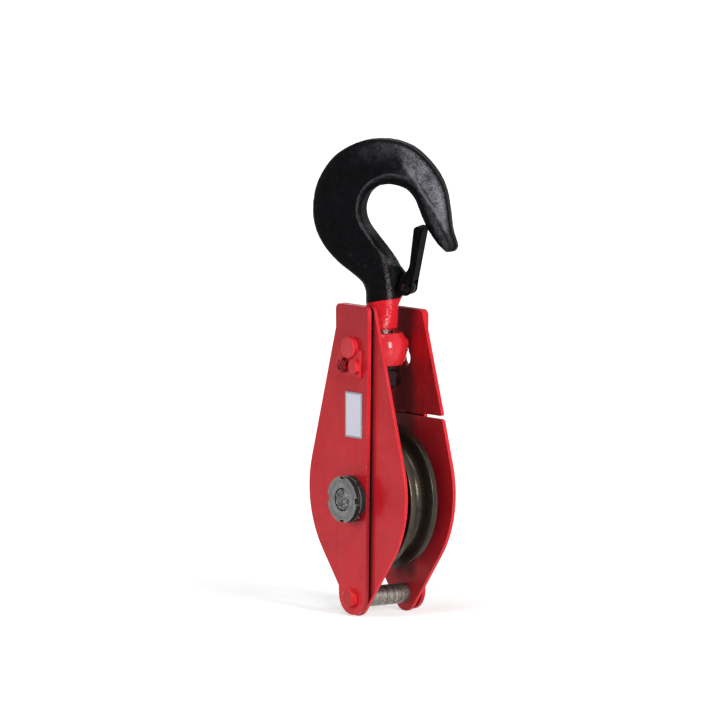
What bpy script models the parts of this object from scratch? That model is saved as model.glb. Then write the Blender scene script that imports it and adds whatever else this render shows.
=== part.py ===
# Open-sided single-sheave block with a swivel hook.
#
# Each side is a wide cheek plate with a narrower load strap outside it.
# The rear side is split: its upper half is a gate that lifts off the
# trunnion and swings out, so that a rope can be laid on the sheave.
#
# The block frame has the sheave's axle along Y through its origin, the
# front at -Y and the hook above. The finished object hangs from the
# inside of the hook's bowl, which is the world origin.

import math

import bmesh
import bpy
from mathutils import Vector

for old in list(bpy.data.objects):
    bpy.data.objects.remove(old, do_unlink=True)

# General fits
FIT = 0.0003              # gap between pieces that touch
ROUND_STEPS = 32          # facets round a turned piece
EDGE = 0.0005             # broken edge of the plates

# Across the block (Y)
INSIDE_WIDTH = 0.0546     # between the two cheeks
CHEEK_THICK = 0.0038
STRAP_GAP = 0.0018        # cheek to strap
STRAP_THICK = 0.0040
CHEEK_IN = INSIDE_WIDTH / 2
CHEEK_OUT = CHEEK_IN + CHEEK_THICK
STRAP_IN = CHEEK_OUT + STRAP_GAP
STRAP_OUT = STRAP_IN + STRAP_THICK

# Heights above the sheave's axle (Z)
TRUNNION_Z = 0.1460
PLATE_RISE = 0.0410       # plates' top edge above the trunnions
GATE_STEP = 0.0070        # the gate's top edge is this much lower
PLATE_TOP = TRUNNION_Z + PLATE_RISE
GATE_TOP = PLATE_TOP - GATE_STEP
CHEEK_SPLIT = 0.0773      # top of the rear lower cheek
CHEEK_SLIT = 0.0029
STRAP_SPLIT = 0.0630      # top of the rear lower strap
STRAP_SLIT = 0.0030
BOTTOM_BOLT_Z = -0.0965

# Cheek outline
CHEEK_TOP_HALF = 0.0259
CHEEK_CORNER = 0.0060
UPPER_FLANK = math.radians(16.4)
LOWER_FLANK = math.radians(38.0)
FLANK_MEET_Z = -0.0148    # where the two flanks would meet
CHEEK_SIDE_RADIUS = 0.0984
CHEEK_END_RADIUS = 0.0160

# Strap outline
STRAP_TOP_HALF = 0.0254
STRAP_END_HALF = 0.0202
STRAP_END_Z = -0.1126

# Sheave and axle
SHEAVE_RADIUS = 0.0700
SHEAVE_RIM = 0.0335
SHEAVE_LAND = 0.0070
SHEAVE_Y = -0.0033         # the sheave sits nearer the front cheek
GROOVE_FLOOR = 0.0560     # radius at the bottom of the groove
GROOVE_RADIUS = 0.0070
RIM_INNER = 0.0500
WEB_THICK = 0.0120
HUB_RADIUS = 0.0270
HUB_WIDTH = 0.0360
BUSH_RADIUS = 0.0170
JOURNAL_RADIUS = 0.0135
AXLE_END_RADIUS = 0.0110
SIDE_WASHER_RADIUS = 0.0250
AXLE_NUT_RADIUS = 0.0224
AXLE_NUT_THICK = 0.0060
NUT_SLOT_WIDTH = 0.0065
NUT_SLOT_DEPTH = 0.0024
AXLE_HEAD_RADIUS = 0.0215
AXLE_HEAD_THICK = 0.0080
AXLE_SPACER_RADIUS = 0.0230

# Crosshead
BARREL_RADIUS = 0.0237
BARREL_END_RADIUS = 0.0205
CUT_OVER = 0.0100         # how far a bore's cutter stands out at each end
BARREL_UNDER = 0.0190     # barrel below the trunnions' axis
BARREL_OVER = 0.0125      # and above it
BARREL_LOW = TRUNNION_Z - BARREL_UNDER
BARREL_HIGH = TRUNNION_Z + BARREL_OVER
TRUNNION_RADIUS = 0.0103
TRUNNION_OUT = 0.0062     # how far each trunnion stands out of its strap
REAR_NECK = 0.0060        # rear neck that the gate drops over
REAR_HEAD = 0.0080
KEEPER_NECK = 0.0066      # front neck that the keeper holds
GATE_LIFT = 0.0140
KEYHOLE_WIDE = REAR_HEAD + 0.0008

# Keeper plate on the front strap
KEEPER_WIDTH = 0.0350
KEEPER_HEIGHT = 0.0262
KEEPER_THICK = 0.0030
KEEPER_X = -0.0020
KEEPER_UNDER = 0.0137     # plate's middle below the trunnions' axis
KEEPER_BOLT_UNDER = 0.0173
KEEPER_Z = TRUNNION_Z - KEEPER_UNDER
KEEPER_TURN = math.radians(5.0)
KEEPER_BOLT_RADIUS = 0.0040
KEEPER_HEAD_AF = 0.0125
KEEPER_HEAD_HIGH = 0.0042
KEEPER_BOLT_X = (-0.0074, 0.0100)
KEEPER_BOLT_Z = TRUNNION_Z - KEEPER_BOLT_UNDER

# Bottom bolt and its spacer tube
TUBE_RADIUS = 0.0098
BOLT_RADIUS = 0.0050
BOLT_AF = 0.0165
BOLT_HEAD_HIGH = 0.0055
BOLT_NUT_HIGH = 0.0080
BOLT_SPACER_RADIUS = 0.0120

# Name plate, left bare
LABEL_WIDTH = 0.0260
LABEL_HEIGHT = 0.0440
LABEL_THICK = 0.0006
LABEL_X = 0.0033
LABEL_GAP = 0.0160        # strap left bare between the keeper and the plate
LABEL_Z = KEEPER_Z - KEEPER_HEIGHT / 2 - LABEL_GAP - LABEL_HEIGHT / 2

# Gate hinge behind the rear strap
HINGE_OUT = 0.0075        # pin axis behind the strap's outer face
HINGE_PIN_RADIUS = 0.0030
HINGE_PIN_HALF = 0.0125
HINGE_HEAD_RADIUS = 0.0048
EAR_HALF = 0.0040         # half the width of the slotted ear
LUG_WIDTH = 0.0050
LUG_RADIUS = 0.0058
LUG_TALL = 0.0200
EAR_FOOT = 0.0240         # ear's length below the pin

# Hook and latch: all their sizes follow HOOK_UNIT, one millimetre of the
# hook with a 61 mm latch.
LATCH_LENGTH = 0.0610
HOOK_UNIT = LATCH_LENGTH / 61
HOOK_TURN = math.radians(37.0)   # how far the hook is swivelled at rest
SHANK_RADIUS = 15.0 * HOOK_UNIT
SHANK_RISE = 0.0043       # shank's shoulder above the barrel
SHANK_LOW = BARREL_HIGH + SHANK_RISE
NECK_RADIUS = 0.0102
NECK_UNDER = 0.0240       # neck's end below the barrel
NECK_LOW = BARREL_LOW - NECK_UNDER
SEAT_HEIGHT = 137.2       # inside of the bowl above the shank's end, in units
SEAT_Z = SHANK_LOW + SEAT_HEIGHT * HOOK_UNIT
HOOK_NUT_AF = 0.0320
HOOK_NUT_HIGH = 0.0170
THRUST_THICK = 0.0030
THRUST_RADIUS = 0.0190
NUT_PIN_RADIUS = 0.0020
LATCH_X = 25.5 * HOOK_UNIT       # pivot, right of the swivel axis
LATCH_Z = SHANK_LOW + 39.6 * HOOK_UNIT
LATCH_LUG_RADIUS = 7.0 * HOOK_UNIT
LATCH_LUG_THICK = 8.0 * HOOK_UNIT
LATCH_WIDTH = 22.0 * HOOK_UNIT
LATCH_SHEET = 1.8 * HOOK_UNIT
LATCH_EYE = 7.4 * HOOK_UNIT      # outer radius of the latch's eyes
LATCH_LEAN = math.radians(12.5)
LATCH_WEB_LOW = 8.6 * HOOK_UNIT      # where the closed side starts above the pivot
LATCH_OUT_LOW = 6.2 * HOOK_UNIT
LATCH_OUT_TOP = 4.8 * HOOK_UNIT
LATCH_IN_TOP = 4.6 * HOOK_UNIT
LATCH_IN_WAIST = 0.4 * HOOK_UNIT
LATCH_WAIST_AT = 20.0 * HOOK_UNIT
LATCH_PIN_RADIUS = 3.0 * HOOK_UNIT
SPRING_WIRE = 0.6 * HOOK_UNIT        # wire radius
SPRING_RADIUS = 4.8 * HOOK_UNIT
SPRING_TURNS = 2

# Derived positions
REAR = 1.0
FRONT = -1.0
HINGE_Y = STRAP_OUT + HINGE_OUT
HINGE_Z = STRAP_SPLIT + STRAP_SLIT / 2
GATE_LOW = CHEEK_SPLIT + CHEEK_SLIT
GATE_STRAP_LOW = STRAP_SPLIT + STRAP_SLIT
BUSH_HALF = HUB_WIDTH / 2 + 0.0010
HOOK_NUT_TOP = BARREL_LOW - 2 * FIT - THRUST_THICK

parts = bpy.data.collections.new("pulley_block")
bpy.context.scene.collection.children.link(parts)
guides = bpy.data.collections.new("cutters")
bpy.context.scene.collection.children.link(guides)


def material(name, colour, metallic, roughness):
    mat = bpy.data.materials.new(name)
    mat.use_nodes = True
    shader = mat.node_tree.nodes["Principled BSDF"]
    shader.inputs["Base Color"].default_value = (*colour, 1.0)
    shader.inputs["Metallic"].default_value = metallic
    shader.inputs["Roughness"].default_value = roughness
    return mat


RED = material("red_paint", (0.52, 0.03, 0.04), 0.0, 0.40)
BLACK = material("black_forging", (0.012, 0.013, 0.017), 0.2, 0.48)
STEEL = material("worn_steel", (0.36, 0.35, 0.34), 1.0, 0.42)
OXIDE = material("dark_oxide", (0.075, 0.072, 0.07), 0.8, 0.50)
BRONZE = material("brown_steel", (0.09, 0.065, 0.045), 0.8, 0.42)
BUSHING = material("bush_bronze", (0.42, 0.26, 0.12), 1.0, 0.40)
PLATE = material("name_plate", (0.62, 0.60, 0.68), 0.1, 0.45)


def empty(name, parent, location=(0, 0, 0), turn=0.0):
    obj = bpy.data.objects.new(name, None)
    obj.location = location
    obj.rotation_euler = (0, 0, turn)
    obj.parent = parent
    parts.objects.link(obj)
    return obj


def finish(obj, mat, parent, location=(0, 0, 0), rotation=(0, 0, 0)):
    obj.data.materials.clear()
    obj.data.materials.append(mat)
    obj.location = location
    obj.rotation_euler = rotation
    obj.parent = parent
    obj.data.shade_smooth()
    obj.data.set_sharp_from_angle(angle=math.radians(35))
    return obj


def as_object(name, mesh, collection=parts):
    obj = bpy.data.objects.new(name, mesh)
    collection.objects.link(obj)
    return obj


def arc(cx, cy, radius, start, end, steps):
    points = []
    for i in range(steps + 1):
        a = start + (end - start) * i / steps
        points.append((cx + radius * math.cos(a), cy + radius * math.sin(a)))
    return points


def circle(cx, cy, radius, steps=20):
    return arc(cx, cy, radius, 0.0, 2 * math.pi, steps)[:-1]


def rounded(corners, coarse=0.0022):
    """Outline through (x, y, radius) corners, each rounded by its radius."""
    points = []
    count = len(corners)
    for i, (x, y, radius) in enumerate(corners):
        here = Vector((x, y))
        if radius <= 0:
            points.append((x, y))
            continue
        before = (Vector(corners[i - 1][:2]) - here).normalized()
        after = (Vector(corners[(i + 1) % count][:2]) - here).normalized()
        half = before.angle(after) / 2
        centre = here + (before + after).normalized() * (radius / math.sin(half))
        start = here + before * (radius / math.tan(half)) - centre
        end = here + after * (radius / math.tan(half)) - centre
        a = math.atan2(start.y, start.x)
        sweep = math.atan2(end.y, end.x) - a
        while sweep > math.pi:
            sweep -= 2 * math.pi
        while sweep < -math.pi:
            sweep += 2 * math.pi
        steps = max(2, min(8, int(abs(sweep) * radius / coarse)))
        steps = max(steps, int(abs(sweep) / math.radians(24)) + 1)
        points += arc(centre.x, centre.y, radius, a, a + sweep, steps)
    return points


def outline_mesh(name, loops, thickness):
    """Flat outline with holes, extruded to a thickness, as a mesh."""
    curve = bpy.data.curves.new(name + "_outline", "CURVE")
    curve.dimensions = "2D"
    curve.fill_mode = "BOTH"
    curve.extrude = thickness / 2
    for loop in loops:
        spline = curve.splines.new("POLY")
        spline.points.add(len(loop) - 1)
        for point, (x, y) in zip(spline.points, loop):
            point.co = (x, y, 0, 1)
        spline.use_cyclic_u = True
    source = bpy.data.objects.new(name + "_outline", curve)
    guides.objects.link(source)
    bpy.context.view_layer.update()
    graph = bpy.context.evaluated_depsgraph_get()
    mesh = bpy.data.meshes.new_from_object(source.evaluated_get(graph))
    bpy.data.objects.remove(source, do_unlink=True)
    work = bmesh.new()
    work.from_mesh(mesh)
    bmesh.ops.remove_doubles(work, verts=work.verts, dist=0.00001)
    bmesh.ops.dissolve_limit(work, angle_limit=0.001, verts=work.verts, edges=work.edges)
    bmesh.ops.recalc_face_normals(work, faces=work.faces)
    work.to_mesh(mesh)
    work.free()
    mesh.name = name
    return mesh


def soften(obj, width, segments=1):
    bevel = obj.modifiers.new("broken_edges", "BEVEL")
    bevel.width = width
    bevel.segments = segments
    bevel.limit_method = "ANGLE"
    bevel.angle_limit = math.radians(40)
    return bevel


def side_plate(name, loops, thickness, y_mid, mat, parent, edge=EDGE):
    """A plate standing in the XZ plane, its middle at y_mid."""
    obj = as_object(name, outline_mesh(name, loops, thickness))
    finish(obj, mat, parent, (0, y_mid, 0), (math.pi / 2, 0, 0))
    if edge > 0:
        soften(obj, edge)
    return obj


def turned(name, profile, mat, parent, location=(0, 0, 0), along_y=False, steps=ROUND_STEPS):
    """A closed (radius, height) profile turned about its axis."""
    mesh = bpy.data.meshes.new(name)
    verts = [(r, 0, h) for r, h in profile]
    on_axis = profile[0][0] == 0
    edges = [(i, i + 1) for i in range(len(profile) - 1)]
    if not on_axis:
        edges.append((len(profile) - 1, 0))
    mesh.from_pydata(verts, edges, [])
    obj = as_object(name, mesh)
    screw = obj.modifiers.new("turn", "SCREW")
    screw.angle = 2 * math.pi
    screw.steps = steps
    screw.render_steps = steps
    screw.use_merge_vertices = True
    screw.merge_threshold = 0.00005
    screw.use_smooth_shade = True
    finish_rotation = (math.pi / 2, 0, 0) if along_y else (0, 0, 0)
    return finish(obj, mat, parent, location, finish_rotation)


def ring_profile(inner, outer, low, high, edge=0.0004):
    if edge == 0:
        return [(inner, high), (outer, high), (outer, low), (inner, low)]
    return [
        (inner + edge, high),
        (outer - edge, high),
        (outer, high - edge),
        (outer, low + edge),
        (outer - edge, low),
        (inner + edge, low),
        (inner, low + edge),
        (inner, high - edge),
    ]


def rod_profile(radius, low, high, edge=0.0006):
    return [
        (0, high),
        (radius - edge, high),
        (radius, high - edge),
        (radius, low + edge),
        (radius - edge, low),
        (0, low),
    ]


def cylinder(name, radius, depth, location, rotation=(0, 0, 0), steps=ROUND_STEPS, parent=None):
    mesh = bpy.data.meshes.new(name)
    work = bmesh.new()
    bmesh.ops.create_cone(
        work, cap_ends=True, segments=steps, radius1=radius, radius2=radius, depth=depth
    )
    work.to_mesh(mesh)
    work.free()
    obj = as_object(name, mesh, guides)
    obj.location = location
    obj.rotation_euler = rotation
    obj.parent = parent
    return obj


def block(name, size, location, rotation=(0, 0, 0), parent=None):
    mesh = bpy.data.meshes.new(name)
    work = bmesh.new()
    bmesh.ops.create_cube(work, size=1.0)
    bmesh.ops.scale(work, vec=size, verts=work.verts)
    work.to_mesh(mesh)
    work.free()
    obj = as_object(name, mesh, guides)
    obj.location = location
    obj.rotation_euler = rotation
    obj.parent = parent
    return obj


def combine(obj, other, operation):
    other.hide_render = True
    other.display_type = "WIRE"
    cut = obj.modifiers.new(other.name, "BOOLEAN")
    cut.operation = operation
    cut.object = other
    cut.solver = "EXACT"
    return cut


def hexagon(across_flats):
    corner = across_flats / 2 / math.cos(math.pi / 6)
    return [(x, y, 0.0) for x, y in arc(0, 0, corner, math.pi / 2, 2.5 * math.pi, 6)[:-1]]


def hex_bolt(name, flats, head_high, radius, length, mat, parent, location):
    """Bolt along Y: head towards -Y, its seat at the location."""
    head = outline_mesh(name + "_head", [rounded([(x, y, 0.0008) for x, y, _ in hexagon(flats)])], head_high)
    obj = as_object(name, head)
    finish(obj, mat, parent, location, (math.pi / 2, 0, 0))
    bmesh_move(obj.data, (0, 0, head_high / 2))
    soften(obj, 0.0005)
    spot = (location[0], location[1] + length / 2 - 0.0005, location[2])
    stem = cylinder(name + "_stem", radius, length + 0.0010, spot, (math.pi / 2, 0, 0), 16, parent)
    combine(obj, stem, "UNION")
    return obj


def bmesh_move(mesh, offset):
    work = bmesh.new()
    work.from_mesh(mesh)
    bmesh.ops.translate(work, vec=offset, verts=work.verts)
    work.to_mesh(mesh)
    work.free()


# Placing empties: the block hangs below the world origin, and the hook's
# pieces stand in their own plane, swivelled about Z.
block_frame = empty("block_frame", None, (0, 0, -SEAT_Z))
hook_frame = empty("hook_frame", block_frame, (0, 0, 0), HOOK_TURN)


# Cheek and strap outlines
def flank_x(z):
    return CHEEK_TOP_HALF + (PLATE_TOP - z) * math.tan(UPPER_FLANK)


SIDE_X = flank_x(FLANK_MEET_Z)
LOW_POINT = FLANK_MEET_Z - SIDE_X / math.tan(LOWER_FLANK)


def strap_x(z):
    share = (PLATE_TOP - z) / (PLATE_TOP - STRAP_END_Z)
    return STRAP_TOP_HALF + (STRAP_END_HALF - STRAP_TOP_HALF) * share


lower_cheek_corners = [
    (SIDE_X, FLANK_MEET_Z, CHEEK_SIDE_RADIUS),
    (0, LOW_POINT, CHEEK_END_RADIUS),
    (-SIDE_X, FLANK_MEET_Z, CHEEK_SIDE_RADIUS),
]
strap_end = STRAP_END_HALF * 0.985

front_cheek_loop = rounded(
    [(-CHEEK_TOP_HALF, PLATE_TOP, CHEEK_CORNER), (CHEEK_TOP_HALF, PLATE_TOP, CHEEK_CORNER)]
    + lower_cheek_corners
)
rear_cheek_loop = rounded(
    [(-flank_x(CHEEK_SPLIT), CHEEK_SPLIT, 0.0040), (flank_x(CHEEK_SPLIT), CHEEK_SPLIT, 0.0040)]
    + lower_cheek_corners
)
gate_cheek_loop = rounded([
    (-flank_x(GATE_TOP) + 0.0015, GATE_TOP, CHEEK_CORNER),
    (flank_x(GATE_TOP) - 0.0015, GATE_TOP, CHEEK_CORNER),
    (flank_x(GATE_LOW), GATE_LOW, 0.0020),
    (-flank_x(GATE_LOW), GATE_LOW, 0.0020),
])
front_strap_loop = rounded([
    (-STRAP_TOP_HALF, PLATE_TOP, CHEEK_CORNER),
    (STRAP_TOP_HALF, PLATE_TOP, CHEEK_CORNER),
    (STRAP_END_HALF, STRAP_END_Z, strap_end),
    (-STRAP_END_HALF, STRAP_END_Z, strap_end),
])
rear_strap_loop = rounded([
    (-strap_x(STRAP_SPLIT), STRAP_SPLIT, 0.0030),
    (strap_x(STRAP_SPLIT), STRAP_SPLIT, 0.0030),
    (STRAP_END_HALF, STRAP_END_Z, strap_end),
    (-STRAP_END_HALF, STRAP_END_Z, strap_end),
])
notch_half = EAR_HALF + 2 * FIT
notch_top = HINGE_Z + GATE_LIFT + LUG_RADIUS + 0.0012
gate_strap_loop = rounded([
    (-strap_x(GATE_TOP), GATE_TOP, CHEEK_CORNER),
    (strap_x(GATE_TOP), GATE_TOP, CHEEK_CORNER),
    (strap_x(GATE_STRAP_LOW), GATE_STRAP_LOW, 0.0030),
    (notch_half, GATE_STRAP_LOW, 0.0),
    (notch_half, notch_top, 0.0015),
    (-notch_half, notch_top, 0.0015),
    (-notch_half, GATE_STRAP_LOW, 0.0),
    (-strap_x(GATE_STRAP_LOW), GATE_STRAP_LOW, 0.0030),
])


def keyhole():
    """Narrow slot that rests on the neck, over a wide round for the head."""
    narrow = REAR_NECK + FIT
    low = TRUNNION_Z - GATE_LIFT
    open_angle = math.asin(narrow / KEYHOLE_WIDE)
    top = arc(0, TRUNNION_Z, narrow, 0.0, math.pi, 10)
    bottom = arc(0, low, KEYHOLE_WIDE, math.pi / 2 + open_angle, 2.5 * math.pi - open_angle, 18)
    return top + bottom


trunnion_hole = circle(0, TRUNNION_Z, TRUNNION_RADIUS + FIT, 24)
axle_hole = circle(0, 0, AXLE_END_RADIUS + FIT, 24)
bolt_hole = circle(0, BOTTOM_BOLT_Z, BOLT_RADIUS + FIT, 16)
keeper_holes = [circle(x, KEEPER_BOLT_Z, KEEPER_BOLT_RADIUS + FIT, 14) for x in KEEPER_BOLT_X]

cheek_mid = (CHEEK_IN + CHEEK_OUT) / 2
strap_mid = (STRAP_IN + STRAP_OUT) / 2

side_plate(
    "front_cheek", [front_cheek_loop, trunnion_hole, axle_hole, bolt_hole],
    CHEEK_THICK, FRONT * cheek_mid, RED, block_frame,
)
side_plate(
    "front_strap", [front_strap_loop, trunnion_hole, axle_hole, bolt_hole] + keeper_holes,
    STRAP_THICK, FRONT * strap_mid, RED, block_frame,
)
side_plate(
    "rear_cheek", [rear_cheek_loop, axle_hole, bolt_hole],
    CHEEK_THICK, REAR * cheek_mid, RED, block_frame,
)
side_plate(
    "rear_strap", [rear_strap_loop, axle_hole, bolt_hole],
    STRAP_THICK, REAR * strap_mid, RED, block_frame,
)

# Gate: its pieces turn about the hinge pin, so they hang from that axis.
gate_frame = empty("gate_frame", block_frame, (0, HINGE_Y, HINGE_Z))


def gate_plate(name, loops, thickness, y_mid):
    shifted = [[(x, z - HINGE_Z) for x, z in loop] for loop in loops]
    return side_plate(name, shifted, thickness, y_mid - HINGE_Y, RED, gate_frame)


gate_plate("gate_cheek", [gate_cheek_loop, keyhole()], CHEEK_THICK, cheek_mid)
gate_plate("gate_strap", [gate_strap_loop, keyhole()], STRAP_THICK, strap_mid)

spacer_mid = (CHEEK_OUT + STRAP_IN) / 2
spacer_thick = STRAP_GAP - 2 * FIT
spacer_half = STRAP_TOP_HALF * 0.72
GATE_SPACER_TALL = 0.0100
for label, centre in (("upper", GATE_TOP - 0.0115), ("lower", GATE_LOW + 0.0115)):
    corners = [
        (-spacer_half, centre - GATE_SPACER_TALL / 2, 0.0015),
        (spacer_half, centre - GATE_SPACER_TALL / 2, 0.0015),
        (spacer_half, centre + GATE_SPACER_TALL / 2, 0.0015),
        (-spacer_half, centre + GATE_SPACER_TALL / 2, 0.0015),
    ]
    gate_plate("gate_spacer_" + label, [rounded(corners)], spacer_thick, spacer_mid)


def upright_plate(name, corners, holes, x_mid, width, mat, parent, location):
    """A plate whose outline lies in the YZ plane, width along X."""
    obj = as_object(name, outline_mesh(name, [rounded(corners)] + holes, width))
    finish(obj, mat, parent, (x_mid + location[0], location[1], location[2]), (math.pi / 2, 0, math.pi / 2))
    soften(obj, 0.0004)
    return obj


# Two lugs on the gate strap carry the pin; the ear between them is fixed
# to the lower strap, and its slot lets the pin rise with the gate.
lug_face = -HINGE_OUT + FIT
lug_corners = [
    (lug_face, STRAP_SLIT, 0.0),
    (-LUG_RADIUS * 0.2, -LUG_RADIUS, LUG_RADIUS * 0.9),
    (LUG_RADIUS, -LUG_RADIUS, LUG_RADIUS * 0.98),
    (LUG_RADIUS, LUG_RADIUS, LUG_RADIUS * 0.6),
    (lug_face + 0.0030, LUG_TALL, 0.0020),
    (lug_face, LUG_TALL, 0.0),
]
for label, sign in (("left", -1), ("right", 1)):
    upright_plate(
        "gate_lug_" + label, lug_corners, [circle(0, 0, HINGE_PIN_RADIUS + FIT, 14)],
        sign * (EAR_HALF + FIT + LUG_WIDTH / 2), LUG_WIDTH, RED, gate_frame, (0, 0, 0),
    )

ear_high = GATE_LIFT + LUG_RADIUS
ear_corners = [
    (lug_face, -EAR_FOOT, 0.0),
    (lug_face + 0.0040, -EAR_FOOT, 0.0020),
    (LUG_RADIUS, -LUG_RADIUS, 0.0040),
    (LUG_RADIUS, ear_high, 0.0045),
    (lug_face + FIT, ear_high, 0.0025),
    (lug_face + FIT, 0.0, 0.0),
    (lug_face, 0.0, 0.0),
]
slot_radius = HINGE_PIN_RADIUS + FIT
ear_slot = arc(0, GATE_LIFT, slot_radius, 0, math.pi, 8)
ear_slot += arc(0, 0, slot_radius, math.pi, 2 * math.pi, 8)
upright_plate(
    "hinge_ear", ear_corners, [ear_slot], 0, 2 * EAR_HALF, RED, block_frame, (0, HINGE_Y, HINGE_Z)
)

pin_head = HINGE_PIN_HALF - (EAR_HALF + FIT + LUG_WIDTH + FIT)
head_start = HINGE_PIN_HALF - pin_head
hinge_pin_profile = [
    (0, HINGE_PIN_HALF),
    (HINGE_HEAD_RADIUS - 0.0008, HINGE_PIN_HALF),
    (HINGE_HEAD_RADIUS, HINGE_PIN_HALF - 0.0008),
    (HINGE_HEAD_RADIUS, head_start),
    (HINGE_PIN_RADIUS, head_start),
    (HINGE_PIN_RADIUS, -head_start),
    (HINGE_HEAD_RADIUS, -head_start),
    (HINGE_HEAD_RADIUS, -HINGE_PIN_HALF + 0.0008),
    (HINGE_HEAD_RADIUS - 0.0008, -HINGE_PIN_HALF),
    (0, -HINGE_PIN_HALF),
]
hinge_pin = turned("hinge_pin", hinge_pin_profile, OXIDE, gate_frame, steps=16)
hinge_pin.rotation_euler = (0, math.pi / 2, 0)

# Spacer rings that hold each strap off its cheek
gap_low = CHEEK_OUT + FIT
gap_high = STRAP_IN - FIT


def gap_ring(name, inner, outer, z, side):
    low, high = sorted((side * -gap_low, side * -gap_high))
    turned(name, ring_profile(inner, outer, low, high, 0), OXIDE, block_frame, (0, 0, z), True, 24)


gap_ring("front_trunnion_spacer", TRUNNION_RADIUS + FIT, TRUNNION_RADIUS + 0.0040, TRUNNION_Z, FRONT)
gap_ring("front_axle_spacer", AXLE_END_RADIUS + FIT, AXLE_SPACER_RADIUS * 0.85, 0, FRONT)
gap_ring("front_bolt_spacer", BOLT_RADIUS + FIT, BOLT_SPACER_RADIUS, BOTTOM_BOLT_Z, FRONT)
gap_ring("rear_axle_spacer", AXLE_END_RADIUS + FIT, AXLE_SPACER_RADIUS * 0.85, 0, REAR)
gap_ring("rear_bolt_spacer", BOLT_RADIUS + FIT, BOLT_SPACER_RADIUS, BOTTOM_BOLT_Z, REAR)

# Sheave: rim with a round-bottomed groove, web and hub
rim_half = SHEAVE_RIM / 2
groove_half = rim_half - SHEAVE_LAND
wall_start = math.radians(25)
sheave_profile = [(SHEAVE_RADIUS - 0.0010, rim_half), (SHEAVE_RADIUS, rim_half - 0.0010)]
sheave_profile += [(SHEAVE_RADIUS, groove_half + 0.0006), (SHEAVE_RADIUS - 0.0008, groove_half)]
for radius, height in arc(
    GROOVE_FLOOR + GROOVE_RADIUS, 0, GROOVE_RADIUS, math.pi - 1.13, math.pi + 1.13, 6
):
    sheave_profile.append((radius, -(height)))
sheave_profile = sheave_profile[:4] + sorted(sheave_profile[4:], key=lambda p: -p[1])
sheave_profile += [(SHEAVE_RADIUS - 0.0008, -groove_half), (SHEAVE_RADIUS, -groove_half - 0.0006)]
sheave_profile += [(SHEAVE_RADIUS, -rim_half + 0.0010), (SHEAVE_RADIUS - 0.0010, -rim_half)]
sheave_profile += [
    (RIM_INNER, -rim_half),
    (RIM_INNER - 0.0040, -WEB_THICK / 2),
    (HUB_RADIUS + 0.0030, -WEB_THICK / 2),
    (HUB_RADIUS, -HUB_WIDTH / 2),
    (BUSH_RADIUS + FIT, -HUB_WIDTH / 2),
    (BUSH_RADIUS + FIT, HUB_WIDTH / 2),
    (HUB_RADIUS, HUB_WIDTH / 2),
    (HUB_RADIUS + 0.0030, WEB_THICK / 2),
    (RIM_INNER - 0.0040, WEB_THICK / 2),
    (RIM_INNER, rim_half),
]
turned("sheave", sheave_profile, BRONZE, block_frame, (0, SHEAVE_Y, 0), True, 40)
turned(
    "sheave_bush", ring_profile(JOURNAL_RADIUS + FIT, BUSH_RADIUS, -BUSH_HALF, BUSH_HALF, 0),
    BUSHING, block_frame, (0, SHEAVE_Y, 0), True,
)
washer_high = CHEEK_IN - FIT
for label, sign in (("front", 1), ("rear", -1)):
    washer_low = BUSH_HALF + FIT - sign * SHEAVE_Y
    low, high = sorted((sign * washer_low, sign * washer_high))
    turned(
        "side_washer_" + label,
        ring_profile(JOURNAL_RADIUS + FIT, SIDE_WASHER_RADIUS, low, high, 0),
        STEEL, block_frame, (0, 0, 0), True,
    )

# Axle: journal between the cheeks, threaded front end, head at the rear
front_end = STRAP_OUT + 3 * FIT + 2 * AXLE_NUT_THICK - 0.0008
head_seat = STRAP_OUT + FIT
axle_profile = [
    (0, front_end),
    (AXLE_END_RADIUS - 0.0012, front_end),
    (AXLE_END_RADIUS, front_end - 0.0012),
    (AXLE_END_RADIUS, CHEEK_IN - FIT),
    (JOURNAL_RADIUS, CHEEK_IN - FIT),
    (JOURNAL_RADIUS, -CHEEK_IN + FIT),
    (AXLE_END_RADIUS, -CHEEK_IN + FIT),
    (AXLE_END_RADIUS, -head_seat),
    (AXLE_HEAD_RADIUS, -head_seat),
    (AXLE_HEAD_RADIUS, -head_seat - AXLE_HEAD_THICK + 0.0012),
    (AXLE_HEAD_RADIUS - 0.0012, -head_seat - AXLE_HEAD_THICK),
    (0, -head_seat - AXLE_HEAD_THICK),
]
turned("axle", axle_profile, OXIDE, block_frame, (0, 0, 0), True)


# Two slotted ring nuts, locked against each other
def ring_nut(name, face, turn):
    high = face + AXLE_NUT_THICK
    profile = ring_profile(AXLE_END_RADIUS + FIT, AXLE_NUT_RADIUS, face, high, 0.0010)
    nut = turned(name, profile, OXIDE, block_frame, (0, 0, 0), True, 32)
    for i in range(4):
        angle = turn + i * math.pi / 2
        reach = AXLE_NUT_RADIUS - NUT_SLOT_DEPTH / 2 + 0.0010
        spot = (reach * math.cos(angle), -(face + high) / 2, reach * math.sin(angle))
        size = (NUT_SLOT_DEPTH + 0.0020, AXLE_NUT_THICK + 0.0040, NUT_SLOT_WIDTH)
        tool = block(name + "_slot_" + str(i), size, spot, (0, -angle, 0), block_frame)
        combine(nut, tool, "DIFFERENCE")
    return nut


ring_nut("axle_nut_inner", STRAP_OUT + FIT, math.radians(48))
ring_nut("axle_nut_outer", STRAP_OUT + 2 * FIT + AXLE_NUT_THICK, 0.0)

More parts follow.
